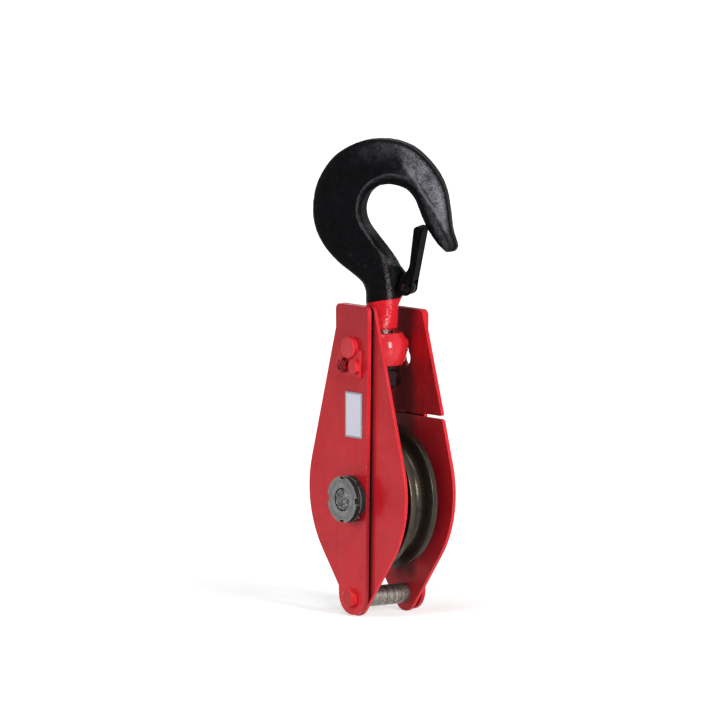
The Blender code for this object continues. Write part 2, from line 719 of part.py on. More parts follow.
# Crosshead: convex barrel with two trunnions, bored for the hook's neck
barrel_mid = (BARREL_LOW + BARREL_HIGH) / 2
barrel_half = (BARREL_HIGH - BARREL_LOW) / 2
barrel_profile = [(0, barrel_half), (BARREL_END_RADIUS - 0.0030, barrel_half)]
for i in range(7):
    share = -1 + 2 * i / 6
    bulge = BARREL_RADIUS - (BARREL_RADIUS - BARREL_END_RADIUS) * abs(share) ** 2.4
    barrel_profile.append((bulge, -share * (barrel_half - 0.0022)))
barrel_profile += [(BARREL_END_RADIUS - 0.0030, -barrel_half), (0, -barrel_half)]
crosshead = turned("crosshead", barrel_profile, RED, block_frame, (0, 0, barrel_mid), False, 36)
trunnion_end = STRAP_OUT + TRUNNION_OUT
neck_end = STRAP_OUT + FIT
along_y = (math.pi / 2, 0, 0)
front_half = cylinder(
    "front_trunnion", TRUNNION_RADIUS, trunnion_end, (0, -trunnion_end / 2, TRUNNION_Z), along_y, 28,
    block_frame,
)
combine(crosshead, front_half, "UNION")
rear_half = cylinder(
    "rear_trunnion", REAR_NECK, neck_end + 0.0010, (0, (neck_end + 0.0010) / 2, TRUNNION_Z), along_y,
    20, block_frame,
)
combine(crosshead, rear_half, "UNION")
rear_head = cylinder(
    "rear_trunnion_head", REAR_HEAD, TRUNNION_OUT - FIT,
    (0, neck_end + (TRUNNION_OUT - FIT) / 2, TRUNNION_Z), along_y, 28, block_frame,
)
combine(crosshead, rear_head, "UNION")
neck_bore = cylinder(
    "neck_bore", NECK_RADIUS + FIT, BARREL_HIGH - BARREL_LOW + 2 * CUT_OVER, (0, 0, barrel_mid), (0, 0, 0), 28,
    block_frame,
)
combine(crosshead, neck_bore, "DIFFERENCE")

# The groove for the keeper is cut in the lower half of the front trunnion.
groove_depth = KEEPER_THICK + 2 * FIT
groove = cylinder(
    "keeper_groove", TRUNNION_RADIUS + 0.0020, groove_depth,
    (0, -(STRAP_OUT + groove_depth / 2), TRUNNION_Z), along_y, 40, block_frame,
)
groove_core = cylinder(
    "keeper_groove_core", KEEPER_NECK, groove_depth + 0.0020,
    (0, -(STRAP_OUT + groove_depth / 2), TRUNNION_Z), along_y, 32, block_frame,
)
combine(groove, groove_core, "DIFFERENCE")
upper = 0.0400
groove_roof = block(
    "keeper_groove_roof", (upper, groove_depth + 0.0040, upper),
    (0, -(STRAP_OUT + groove_depth / 2), TRUNNION_Z + upper / 2 + 0.0004), (0, 0, 0), block_frame,
)
combine(groove, groove_roof, "DIFFERENCE")
combine(crosshead, groove, "DIFFERENCE")

# Keeper plate, notched round the trunnion's neck, and its two bolts
cos_k = math.cos(KEEPER_TURN)
sin_k = math.sin(KEEPER_TURN)


def keeper_point(x, z):
    return (KEEPER_X + x * cos_k + z * sin_k, KEEPER_Z - x * sin_k + z * cos_k)


notch = KEEPER_NECK + FIT
half_w = KEEPER_WIDTH / 2
half_h = KEEPER_HEIGHT / 2
low_left = keeper_point(-half_w, -half_h)
low_right = keeper_point(half_w, -half_h)
top_z = TRUNNION_Z - 0.0004
keeper_loop = [low_left, low_right, keeper_point(half_w, half_h)]
keeper_loop += [(notch, top_z)]
keeper_loop += arc(0, TRUNNION_Z, notch, -0.06, -math.pi + 0.06, 12)
keeper_loop += [(-notch, top_z), (keeper_point(-half_w, half_h)[0], top_z)]
keeper_centre = FRONT * (STRAP_OUT + FIT + KEEPER_THICK / 2)
side_plate(
    "keeper_plate", [keeper_loop] + keeper_holes, KEEPER_THICK, keeper_centre, RED, block_frame, 0.0004
)
keeper_seat = FRONT * (STRAP_OUT + 2 * FIT + KEEPER_THICK)
keeper_reach = KEEPER_THICK + 2 * FIT + STRAP_THICK + STRAP_GAP * 0.6
for label, x in zip(("left", "right"), KEEPER_BOLT_X):
    hex_bolt(
        "keeper_bolt_" + label, KEEPER_HEAD_AF, KEEPER_HEAD_HIGH, KEEPER_BOLT_RADIUS, keeper_reach,
        RED, block_frame, (x, keeper_seat, KEEPER_BOLT_Z),
    )

# Bottom bolt, nut and spacer tube
bolt_length = 2 * (STRAP_OUT + FIT) + BOLT_NUT_HIGH + FIT + 0.0025
hex_bolt(
    "bottom_bolt", BOLT_AF, BOLT_HEAD_HIGH, BOLT_RADIUS, bolt_length, RED, block_frame,
    (0, FRONT * (STRAP_OUT + FIT), BOTTOM_BOLT_Z),
)
nut_loop = rounded([(x, y, 0.0008) for x, y, _ in hexagon(BOLT_AF)])
bottom_nut = as_object(
    "bottom_nut", outline_mesh("bottom_nut", [nut_loop, circle(0, 0, BOLT_RADIUS + FIT, 16)], BOLT_NUT_HIGH)
)
finish(
    bottom_nut, RED, block_frame, (0, STRAP_OUT + FIT + BOLT_NUT_HIGH / 2, BOTTOM_BOLT_Z), along_y
)
soften(bottom_nut, 0.0005)
turned(
    "spacer_tube",
    ring_profile(BOLT_RADIUS + FIT, TUBE_RADIUS, -CHEEK_IN + FIT, CHEEK_IN - FIT, 0),
    STEEL, block_frame, (0, 0, BOTTOM_BOLT_Z), True, 28,
)

# Bare name plate on the front strap
label_x = LABEL_X
label_loop = rounded([
    (label_x - LABEL_WIDTH / 2, LABEL_Z - LABEL_HEIGHT / 2, 0.0010),
    (label_x + LABEL_WIDTH / 2, LABEL_Z - LABEL_HEIGHT / 2, 0.0010),
    (label_x + LABEL_WIDTH / 2, LABEL_Z + LABEL_HEIGHT / 2, 0.0010),
    (label_x - LABEL_WIDTH / 2, LABEL_Z + LABEL_HEIGHT / 2, 0.0010),
])
side_plate(
    "name_plate", [label_loop], LABEL_THICK, FRONT * (STRAP_OUT + FIT + LABEL_THICK / 2), PLATE,
    block_frame, 0,
)

# Hook: a loft through sections of the forging. Each row gives the outer
# point, the inner point, the thickness, the outer corner's radius, the
# width of the inner rounding, the share of the thickness left at the outer
# side, and the angle at which the inner rounding meets the face. Lengths
# are in hook units, with heights above the shank's lower end.
HOOK_SECTIONS = [
    ((-14.9, 0.0), (14.9, 0.0), 29.8, 14.9, 14.9, 1.0, 0.0),
    ((-15.2, 13.2), (15.2, 13.2), 30.4, 15.2, 15.2, 1.0, 0.0),
    ((-15.7, 26.2), (15.7, 25.7), 31.2, 15.6, 15.6, 1.0, 0.0),
    ((-16.0, 36.2), (16.0, 34.7), 31.2, 14.5, 14.5, 1.0, 0.0),
    ((-20.0, 45.2), (18.0, 45.7), 30.0, 12.0, 10.0, 0.97, 12.0),
    ((-31.0, 54.2), (15.5, 59.6), 29.8, 10.0, 6.5, 0.93, 25.0),
    ((-43.0, 63.7), (7.0, 72.4), 29.6, 8.5, 4.5, 0.90, 30.0),
    ((-55.5, 77.7), (-5.5, 87.8), 29.6, 7.5, 4.0, 0.88, 30.0),
    ((-64.0, 94.2), (-15.0, 100.7), 29.8, 7.0, 4.0, 0.87, 30.0),
    ((-67.0, 114.2), (-18.2, 114.2), 30.0, 7.0, 4.5, 0.86, 30.0),
    ((-62.5, 139.2), (-13.7, 128.2), 30.0, 7.0, 5.5, 0.86, 30.0),
    ((-47.0, 163.7), (-4.5, 136.2), 30.0, 7.0, 7.5, 0.85, 30.0),
    ((-22.5, 178.7), (4.0, 138.4), 30.0, 7.0, 9.5, 0.84, 30.0),
    ((4.5, 182.2), (10.0, 138.6), 30.0, 7.0, 11.0, 0.83, 30.0),
    ((29.5, 175.7), (18.0, 136.8), 29.2, 7.2, 12.5, 0.82, 30.0),
    ((50.0, 158.2), (26.2, 132.4), 28.0, 7.4, 13.5, 0.82, 30.0),
    ((62.5, 137.2), (33.0, 123.7), 26.2, 7.4, 13.5, 0.83, 30.0),
    ((67.2, 114.7), (38.5, 110.2), 24.0, 7.2, 13.0, 0.84, 30.0),
    ((69.5, 97.2), (45.0, 96.2), 22.0, 6.8, 12.0, 0.86, 28.0),
    ((73.5, 84.7), (54.0, 83.2), 19.0, 6.0, 9.5, 0.90, 25.0),
    ((74.5, 79.7), (60.0, 77.2), 15.5, 5.0, 7.0, 0.95, 20.0),
    ((72.2, 75.7), (63.5, 74.4), 10.0, 3.0, 4.0, 1.0, 15.0),
]
HOOK_STEPS = 2
CORNER_STEPS = 4


def blend(values, i, t):
    """Smooth curve through a list of numbers or vectors."""
    p0 = values[max(i - 1, 0)]
    p1 = values[i]
    p2 = values[i + 1]
    p3 = values[min(i + 2, len(values) - 1)]
    return 0.5 * (
        2 * p1 + (p2 - p0) * t + (2 * p0 - 5 * p1 + 4 * p2 - p3) * t * t
        + (3 * p1 - p0 - 3 * p2 + p3) * t * t * t
    )


def hook_section(outer, inner, numbers):
    """Ring of one section, from its outer point round by the inner side."""
    thick, r_out, r_in, taper, ridge = numbers
    centre = (outer + inner) / 2
    across = (outer - inner) / 2
    half = across.length
    unit = across.normalized()
    side = thick / 2
    r_out = min(r_out, side * 0.999, half * 0.999)
    drop = min(r_in, side * 0.999)
    low = math.radians(max(ridge, 0.0))
    quarter = math.pi / 2
    corner = []
    for k in range(CORNER_STEPS + 1):
        angle = quarter * k / CORNER_STEPS
        corner.append((half - r_out + r_out * math.cos(angle), side - r_out + r_out * math.sin(angle)))
    for k in range(CORNER_STEPS + 1):
        angle = low + (quarter - low) * k / CORNER_STEPS
        down = drop * (math.cos(low) - math.cos(angle)) / math.cos(low)
        inward = r_in * (1 - (math.sin(angle) - math.sin(low)) / (1 - math.sin(low)))
        corner.append((inward - half, side - down))
    ring = []
    for a, b in corner + [(a, -b) for a, b in reversed(corner)]:
        spot = centre + unit * a
        thinner = 1 - (1 - taper) * (a + half) / (2 * half)
        ring.append((spot.x, b * thinner, spot.y))
    return ring


def hook_spot(x, height):
    """Point in the hook's plane from hook units above the shank's end."""
    return (x * HOOK_UNIT, SHANK_LOW + height * HOOK_UNIT)


def hook_loft():
    outers = [Vector(hook_spot(*row[0])) for row in HOOK_SECTIONS]
    inners = [Vector(hook_spot(*row[1])) for row in HOOK_SECTIONS]
    lengths = [Vector(row[2:5]) * HOOK_UNIT for row in HOOK_SECTIONS]
    shapes = [Vector(row[5:]) for row in HOOK_SECTIONS]
    rings = []
    for i in range(len(HOOK_SECTIONS) - 1):
        last = i == len(HOOK_SECTIONS) - 2
        for k in range(HOOK_STEPS + (1 if last else 0)):
            t = k / HOOK_STEPS
            numbers = (*blend(lengths, i, t), *blend(shapes, i, t))
            rings.append(hook_section(blend(outers, i, t), blend(inners, i, t), numbers))
    work = bmesh.new()
    made = [[work.verts.new(point) for point in ring] for ring in rings]
    size = len(made[0])
    for low, high in zip(made, made[1:]):
        for k in range(size):
            n = (k + 1) % size
            work.faces.new((low[k], low[n], high[n], high[k]))
    work.faces.new(list(reversed(made[0])))
    work.faces.new(made[-1])
    bmesh.ops.remove_doubles(work, verts=work.verts, dist=0.00001)
    bmesh.ops.recalc_face_normals(work, faces=work.faces)
    mesh = bpy.data.meshes.new("hook")
    work.to_mesh(mesh)
    work.free()
    return mesh


hook = as_object("hook", hook_loft())
finish(hook, BLACK, hook_frame)
neck = cylinder(
    "hook_neck", NECK_RADIUS, SHANK_LOW - NECK_LOW + 0.0010, (0, 0, (SHANK_LOW + NECK_LOW + 0.0010) / 2),
    (0, 0, 0), 28, hook_frame,
)
combine(hook, neck, "UNION")

# Lug for the latch, blended into the shank's right side
lug_corners = [
    (*hook_spot(8.0, 16.0), 0.0),
    (*hook_spot(15.0, 21.6), 3.0 * HOOK_UNIT),
    (*hook_spot(20.8, 32.6), 4.0 * HOOK_UNIT),
    (LATCH_X + LATCH_LUG_RADIUS, LATCH_Z - LATCH_LUG_RADIUS, LATCH_LUG_RADIUS),
    (LATCH_X + LATCH_LUG_RADIUS, LATCH_Z + LATCH_LUG_RADIUS * 0.35, LATCH_LUG_RADIUS),
    (*hook_spot(12.4, 66.6), 0.0),
    (*hook_spot(4.0, 62.0), 0.0),
]
lug_mesh = outline_mesh("latch_lug", [rounded(lug_corners)], LATCH_LUG_THICK)
latch_lug = as_object("latch_lug", lug_mesh, guides)
latch_lug.rotation_euler = along_y
latch_lug.parent = hook_frame
combine(hook, latch_lug, "UNION")
lug_bore = cylinder(
    "latch_lug_bore", LATCH_PIN_RADIUS + FIT, LATCH_LUG_THICK * 2, (LATCH_X, 0, LATCH_Z), along_y, 24,
    hook_frame,
)
combine(hook, lug_bore, "DIFFERENCE")
pin_z = HOOK_NUT_TOP - HOOK_NUT_HIGH * 0.62
neck_pin_bore = cylinder(
    "neck_pin_bore", NUT_PIN_RADIUS + FIT, HOOK_NUT_AF * 2.5, (0, 0, pin_z), (0, math.pi / 2, 0), 16, hook_frame
)
combine(hook, neck_pin_bore, "DIFFERENCE")

# Hook nut and thrust washer under the crosshead
turned(
    "thrust_washer",
    ring_profile(NECK_RADIUS + FIT, THRUST_RADIUS, BARREL_LOW - FIT - THRUST_THICK, BARREL_LOW - FIT, 0),
    STEEL, hook_frame,
)
nut_loop = rounded([(x, y, 0.0010) for x, y, _ in hexagon(HOOK_NUT_AF)])
hook_nut = as_object("hook_nut", outline_mesh(
    "hook_nut", [nut_loop, circle(0, 0, NECK_RADIUS + FIT, 28)], HOOK_NUT_HIGH
))
finish(hook_nut, OXIDE, hook_frame, (0, 0, HOOK_NUT_TOP - HOOK_NUT_HIGH / 2))
soften(hook_nut, 0.0008)
combine(hook_nut, neck_pin_bore, "DIFFERENCE")
pin_half = HOOK_NUT_AF / 2 + 0.0030
hook_pin = turned(
    "hook_nut_pin", rod_profile(NUT_PIN_RADIUS, -pin_half, pin_half, 0.0005), STEEL, hook_frame,
    (0, 0, pin_z), False, 16,
)
hook_pin.rotation_euler = (0, math.pi / 2, 0)

# Latch: a folded channel whose closed side faces out of the throat. Its
# two eyes straddle the lug, and its origin is on the pivot.
latch_frame = empty("latch_frame", hook_frame, (LATCH_X, 0, LATCH_Z))


def lean(along, out):
    """Point at a distance along the latch and out from its centre line."""
    return (
        along * math.sin(LATCH_LEAN) + out * math.cos(LATCH_LEAN),
        along * math.cos(LATCH_LEAN) - out * math.sin(LATCH_LEAN),
    )


latch_corners = [
    (*lean(-LATCH_EYE, LATCH_EYE), LATCH_EYE * 0.90),
    (*lean(LATCH_WEB_LOW, LATCH_OUT_LOW), 0.0100),
    (*lean(LATCH_LENGTH, LATCH_OUT_TOP), 0.0020),
    (*lean(LATCH_LENGTH, -LATCH_IN_TOP), 0.0030),
    (*lean(LATCH_WAIST_AT, -LATCH_IN_WAIST), 0.0150),
    (*lean(LATCH_EYE, -LATCH_EYE * 0.86), 0.0040),
    (*lean(-LATCH_EYE, -LATCH_EYE), LATCH_EYE * 0.90),
]
latch = as_object("latch", outline_mesh("latch", [rounded(latch_corners)], LATCH_WIDTH))
finish(latch, BLACK, latch_frame, (0, 0, 0), along_y)
far = LATCH_LENGTH / 2
hollow_corners = [
    lean(-far, far),
    lean(LATCH_WEB_LOW, far),
    lean(LATCH_WEB_LOW, LATCH_OUT_LOW - LATCH_SHEET),
    lean(LATCH_LENGTH, LATCH_OUT_TOP - LATCH_SHEET),
    lean(LATCH_LENGTH + far, LATCH_OUT_TOP - LATCH_SHEET),
    lean(LATCH_LENGTH + far, -far),
    lean(-far, -far),
]
hollow_width = LATCH_WIDTH - 2 * LATCH_SHEET
latch_hollow = as_object("latch_hollow", outline_mesh("latch_hollow", [hollow_corners], hollow_width), guides)
latch_hollow.rotation_euler = along_y
latch_hollow.parent = latch_frame
combine(latch, latch_hollow, "DIFFERENCE")
eye_bore = cylinder(
    "latch_eye_bore", LATCH_PIN_RADIUS + FIT, LATCH_WIDTH * 1.5, (0, 0, 0), along_y, 24, latch_frame
)
combine(latch, eye_bore, "DIFFERENCE")
latch_pin_half = LATCH_WIDTH / 2 + 0.0022
latch_pin_profile = [
    (0, latch_pin_half),
    (LATCH_PIN_RADIUS + 0.0010, latch_pin_half),
    (LATCH_PIN_RADIUS + 0.0014, latch_pin_half - 0.0006),
    (LATCH_PIN_RADIUS + 0.0014, LATCH_WIDTH / 2 + FIT),
    (LATCH_PIN_RADIUS, LATCH_WIDTH / 2 + FIT),
    (LATCH_PIN_RADIUS, -LATCH_WIDTH / 2 - FIT),
    (LATCH_PIN_RADIUS + 0.0014, -LATCH_WIDTH / 2 - FIT),
    (LATCH_PIN_RADIUS + 0.0014, -latch_pin_half + 0.0006),
    (LATCH_PIN_RADIUS + 0.0010, -latch_pin_half),
    (0, -latch_pin_half),
]
latch_pin = turned("latch_pin", latch_pin_profile, STEEL, latch_frame, steps=16)
latch_pin.rotation_euler = along_y

# Latch spring: coils on the pin beside the lug, with one leg against the
# hook and one inside the latch
coil_near = LATCH_LUG_THICK / 2 + FIT + SPRING_WIRE
coil_far = hollow_width / 2 - FIT - SPRING_WIRE
spring_path = [
    (-SPRING_RADIUS * 1.5, -coil_near, 20.0 * HOOK_UNIT),
    (-SPRING_RADIUS, -coil_near, 11.0 * HOOK_UNIT),
]
sweep = math.radians(180 + 360 * SPRING_TURNS)
coil_steps = 6 + 12 * SPRING_TURNS
for i in range(coil_steps + 1):
    share = i / coil_steps
    angle = math.pi + sweep * share
    y = -(coil_near + (coil_far - coil_near) * share)
    spring_path.append((SPRING_RADIUS * math.cos(angle), y, SPRING_RADIUS * math.sin(angle)))
web_inside = LATCH_OUT_TOP - LATCH_SHEET - FIT - SPRING_WIRE
for along in (13.0, 26.0):
    x, z = lean(along * HOOK_UNIT, web_inside)
    spring_path.append((x, -coil_far, z))
spring_curve = bpy.data.curves.new("latch_spring", "CURVE")
spring_curve.dimensions = "3D"
spring_curve.bevel_depth = SPRING_WIRE
spring_curve.bevel_resolution = 0
spring_curve.use_fill_caps = True
spline = spring_curve.splines.new("POLY")
spline.points.add(len(spring_path) - 1)
for point, (x, y, z) in zip(spline.points, spring_path):
    point.co = (x, y, z, 1)
latch_spring = bpy.data.objects.new("latch_spring", spring_curve)
parts.objects.link(latch_spring)
spring_curve.materials.append(STEEL)
latch_spring.parent = latch_frame
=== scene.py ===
# Looks of the single-sheave swivel-hook block, built round the imported frame.
#
# Every large piece is remade here finely, from the same sizes as the
# solids: rounded edges, chamfered bolts, a forged hook with its grain and
# turned steel with its tool marks. Spacers, washers and the bush stay as they
# are in model.glb and get a finish only. All pieces lie in the row frame, in
# metres: the hook's seat is the origin and the sheave's axle is below it.

from functools import reduce
from math import asin, atan2, copysign, cos, pi, radians, sin, sqrt, tan

import bmesh
import bpy
from mathutils import Matrix, Vector


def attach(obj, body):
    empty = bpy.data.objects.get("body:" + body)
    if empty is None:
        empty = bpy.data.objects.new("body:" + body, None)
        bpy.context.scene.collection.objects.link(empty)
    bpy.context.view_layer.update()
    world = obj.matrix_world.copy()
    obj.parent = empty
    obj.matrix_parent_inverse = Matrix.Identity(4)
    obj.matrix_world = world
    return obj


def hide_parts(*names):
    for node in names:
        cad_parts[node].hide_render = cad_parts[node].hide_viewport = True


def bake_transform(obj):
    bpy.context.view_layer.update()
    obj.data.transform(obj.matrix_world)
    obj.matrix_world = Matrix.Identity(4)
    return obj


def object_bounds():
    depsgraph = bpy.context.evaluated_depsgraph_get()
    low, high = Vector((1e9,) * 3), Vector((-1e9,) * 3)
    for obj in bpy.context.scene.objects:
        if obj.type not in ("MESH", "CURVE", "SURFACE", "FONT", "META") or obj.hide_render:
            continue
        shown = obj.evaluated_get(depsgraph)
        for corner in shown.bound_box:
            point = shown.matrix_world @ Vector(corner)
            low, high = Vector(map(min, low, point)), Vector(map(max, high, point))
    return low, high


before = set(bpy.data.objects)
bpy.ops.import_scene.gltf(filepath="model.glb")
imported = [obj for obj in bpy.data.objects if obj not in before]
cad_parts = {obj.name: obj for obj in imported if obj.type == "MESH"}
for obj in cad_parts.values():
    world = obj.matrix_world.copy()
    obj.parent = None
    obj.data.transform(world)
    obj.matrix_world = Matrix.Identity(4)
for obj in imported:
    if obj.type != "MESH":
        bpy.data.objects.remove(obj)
cad_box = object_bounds()

# Fits and finish of edges
FIT = 0.0003
PLATE_EDGE = 0.0009
WELD = 0.00001            # points nearer than this become one
ARC_STEP = radians(4)

# Across the block (Y)
INSIDE_WIDTH = 0.0546
CHEEK_THICK = 0.0038
STRAP_GAP = 0.0018
STRAP_THICK = 0.0040
CHEEK_IN = INSIDE_WIDTH / 2
CHEEK_OUT = CHEEK_IN + CHEEK_THICK
STRAP_IN = CHEEK_OUT + STRAP_GAP
STRAP_OUT = STRAP_IN + STRAP_THICK

# Heights above the sheave's axle (Z)
PLATE_TOP = 0.1870
GATE_TOP = 0.1800
TRUNNION_Z = 0.1460
CHEEK_SPLIT = 0.0773
CHEEK_SLIT = 0.0029
STRAP_SPLIT = 0.0630
STRAP_SLIT = 0.0030
BOTTOM_BOLT_Z = -0.0965
SEAT_Z = 0.3000

# Cheek and strap outlines
CHEEK_TOP_HALF = 0.0259
CHEEK_CORNER = 0.0060
UPPER_FLANK = radians(16.4)
LOWER_FLANK = radians(38.0)
FLANK_MEET_Z = -0.0148
CHEEK_SIDE_RADIUS = 0.0984
CHEEK_END_RADIUS = 0.0160
STRAP_TOP_HALF = 0.0254
STRAP_END_HALF = 0.0202
STRAP_END_Z = -0.1126
FULL_ROUND = 0.985        # of a half width, for an end that is nearly a half circle

# Sheave and axle
SHEAVE_RADIUS = 0.0700
SHEAVE_RIM = 0.0335
SHEAVE_LAND = 0.0070
SHEAVE_Y = -0.0033
GROOVE_FLOOR = 0.0560
GROOVE_RADIUS = 0.0070
RIM_INNER = 0.0500
WEB_THICK = 0.0120
HUB_RADIUS = 0.0270
HUB_WIDTH = 0.0360
BUSH_RADIUS = 0.0170
JOURNAL_RADIUS = 0.0135
AXLE_END_RADIUS = 0.0110
AXLE_NUT_RADIUS = 0.0224
AXLE_NUT_THICK = 0.0060
NUT_SLOT_WIDTH = 0.0065
NUT_SLOT_DEPTH = 0.0024
AXLE_HEAD_RADIUS = 0.0215
AXLE_HEAD_THICK = 0.0080

# Crosshead and keeper
BARREL_RADIUS = 0.0237
BARREL_END_RADIUS = 0.0205
BARREL_LOW = 0.1270
BARREL_HIGH = 0.1585
TRUNNION_RADIUS = 0.0103
TRUNNION_OUT = 0.0062
REAR_NECK = 0.0060
REAR_HEAD = 0.0080
GATE_LIFT = 0.0140
KEYHOLE_WIDE = REAR_HEAD + 0.0008
KEEPER_WIDTH = 0.0350
KEEPER_HEIGHT = 0.0262
KEEPER_THICK = 0.0030
KEEPER_X = -0.0020
KEEPER_Z = 0.1323
KEEPER_TURN = radians(5.0)
KEEPER_BOLT_RADIUS = 0.0040
KEEPER_HEAD_AF = 0.0125
KEEPER_HEAD_HIGH = 0.0042
KEEPER_BOLT_X = (-0.0074, 0.0100)
KEEPER_BOLT_Z = 0.1287

# Bottom bolt, tube and name plate
TUBE_RADIUS = 0.0098
BOLT_RADIUS = 0.0050
BOLT_AF = 0.0165
BOLT_HEAD_HIGH = 0.0055
BOLT_NUT_HIGH = 0.0080
LABEL_WIDTH = 0.0260
LABEL_HEIGHT = 0.0440
LABEL_THICK = 0.0006
LABEL_X = 0.0033
LABEL_Z = 0.0812

# Gate hinge
HINGE_OUT = 0.0075        # the pin's axis from the strap's face
HINGE_PIN_RADIUS = 0.0030
HINGE_PIN_HALF = 0.0125
HINGE_HEAD_RADIUS = 0.0048
EAR_HALF = 0.0040
LUG_WIDTH = 0.0050
LUG_RADIUS = 0.0058
LUG_TALL = 0.0200
EAR_FOOT = 0.0240
HINGE_Y = STRAP_OUT + HINGE_OUT
HINGE_Z = STRAP_SPLIT + STRAP_SLIT / 2
GATE_LOW = CHEEK_SPLIT + CHEEK_SLIT
GATE_STRAP_LOW = STRAP_SPLIT + STRAP_SLIT

# Hook
HOOK_TURN = radians(37.0)
SHANK_LOW = 0.1628
NECK_RADIUS = 0.0102
NECK_LOW = 0.1030
HOOK_NUT_AF = 0.0320
HOOK_NUT_HIGH = 0.0170
THRUST_THICK = 0.0030
HOOK_NUT_TOP = BARREL_LOW - 2 * FIT - THRUST_THICK
HOOK_VOXEL = 0.0008
HOOK_GRAIN = 0.00048      # strength of the forged skin's grain
HOOK_GRAIN_SIZE = 0.0045

# Latch
HOOK_UNIT = 0.001
LATCH_X = 0.0255
LATCH_Z = 0.2024
LATCH_LUG_RADIUS = 0.0070
LATCH_LUG_THICK = 0.0080
LATCH_WIDTH = 0.0220
LATCH_SHEET = 0.0018
LATCH_EYE = 0.0074
LATCH_LEAN = radians(12.5)
LATCH_LENGTH = 0.0610
LATCH_WEB_LOW = 0.0086
LATCH_OUT_LOW = 0.0062
LATCH_OUT_TOP = 0.0048
LATCH_IN_TOP = 0.0046
LATCH_IN_WAIST = 0.0004
LATCH_WAIST_AT = 0.0200
LATCH_PIN_RADIUS = 0.0030
SPRING_WIRE = 0.0006
SPRING_RADIUS = 0.0048
SPRING_TURNS = 2


def shift(x, y, z):
    return Matrix.Translation((x, y, z))


# Where the parts' own drawing planes stand in the row frame
BLOCK = shift(0, 0, -SEAT_Z)
STAND = Matrix.Rotation(pi / 2, 4, "X")
SIDE = BLOCK @ STAND
HOOK = BLOCK @ Matrix.Rotation(HOOK_TURN, 4, "Z")


# ---------------------------------------------------------------- materials
class Nodes:
    """Adds nodes to a shader tree one line at a time."""

    def __init__(self, tree):
        self.tree = tree

    def add(self, kind, **settings):
        node = self.tree.nodes.new(kind)
        for key, value in settings.items():
            setattr(node, key, value)
        return node

    def give(self, value, socket):
        """Links a socket to an input, or sets the input to a plain value."""
        if isinstance(value, bpy.types.NodeSocket):
            self.tree.links.new(value, socket)
        elif socket.type == "RGBA":
            channels = value if isinstance(value, tuple) else (value, value, value)
            socket.default_value = (*channels, 1.0)
        else:
            socket.default_value = value

    def maths(self, operation, first, second=0.0):
        node = self.add("ShaderNodeMath", operation=operation)
        self.give(first, node.inputs[0])
        self.give(second, node.inputs[1])
        return node.outputs["Value"]

    def plus(self, *values):
        return reduce(lambda a, b: self.maths("ADD", a, b), values)

    def times(self, *values):
        return reduce(lambda a, b: self.maths("MULTIPLY", a, b), values)

    def most(self, *values):
        return reduce(lambda a, b: self.maths("MAXIMUM", a, b), values)

    def minus(self, first, second):
        return self.maths("SUBTRACT", first, second)

    def unsigned(self, value):
        return self.maths("ABSOLUTE", value)

    def weighted(self, *pairs):
        """Sum of the pairs' products."""
        return self.plus(*[self.times(value, weight) for value, weight in pairs])

    def length(self, x, y):
        return self.maths("SQRT", self.weighted((x, x), (y, y)))

    def spread(self, value, low, high, to_low=0.0, to_high=1.0):
        """Stretches low to high over to_low to to_high and clamps the rest."""
        node = self.add("ShaderNodeMapRange", clamp=True)
        for socket, number in zip(node.inputs, (value, low, high, to_low, to_high)):
            self.give(number, socket)
        return node.outputs["Result"]


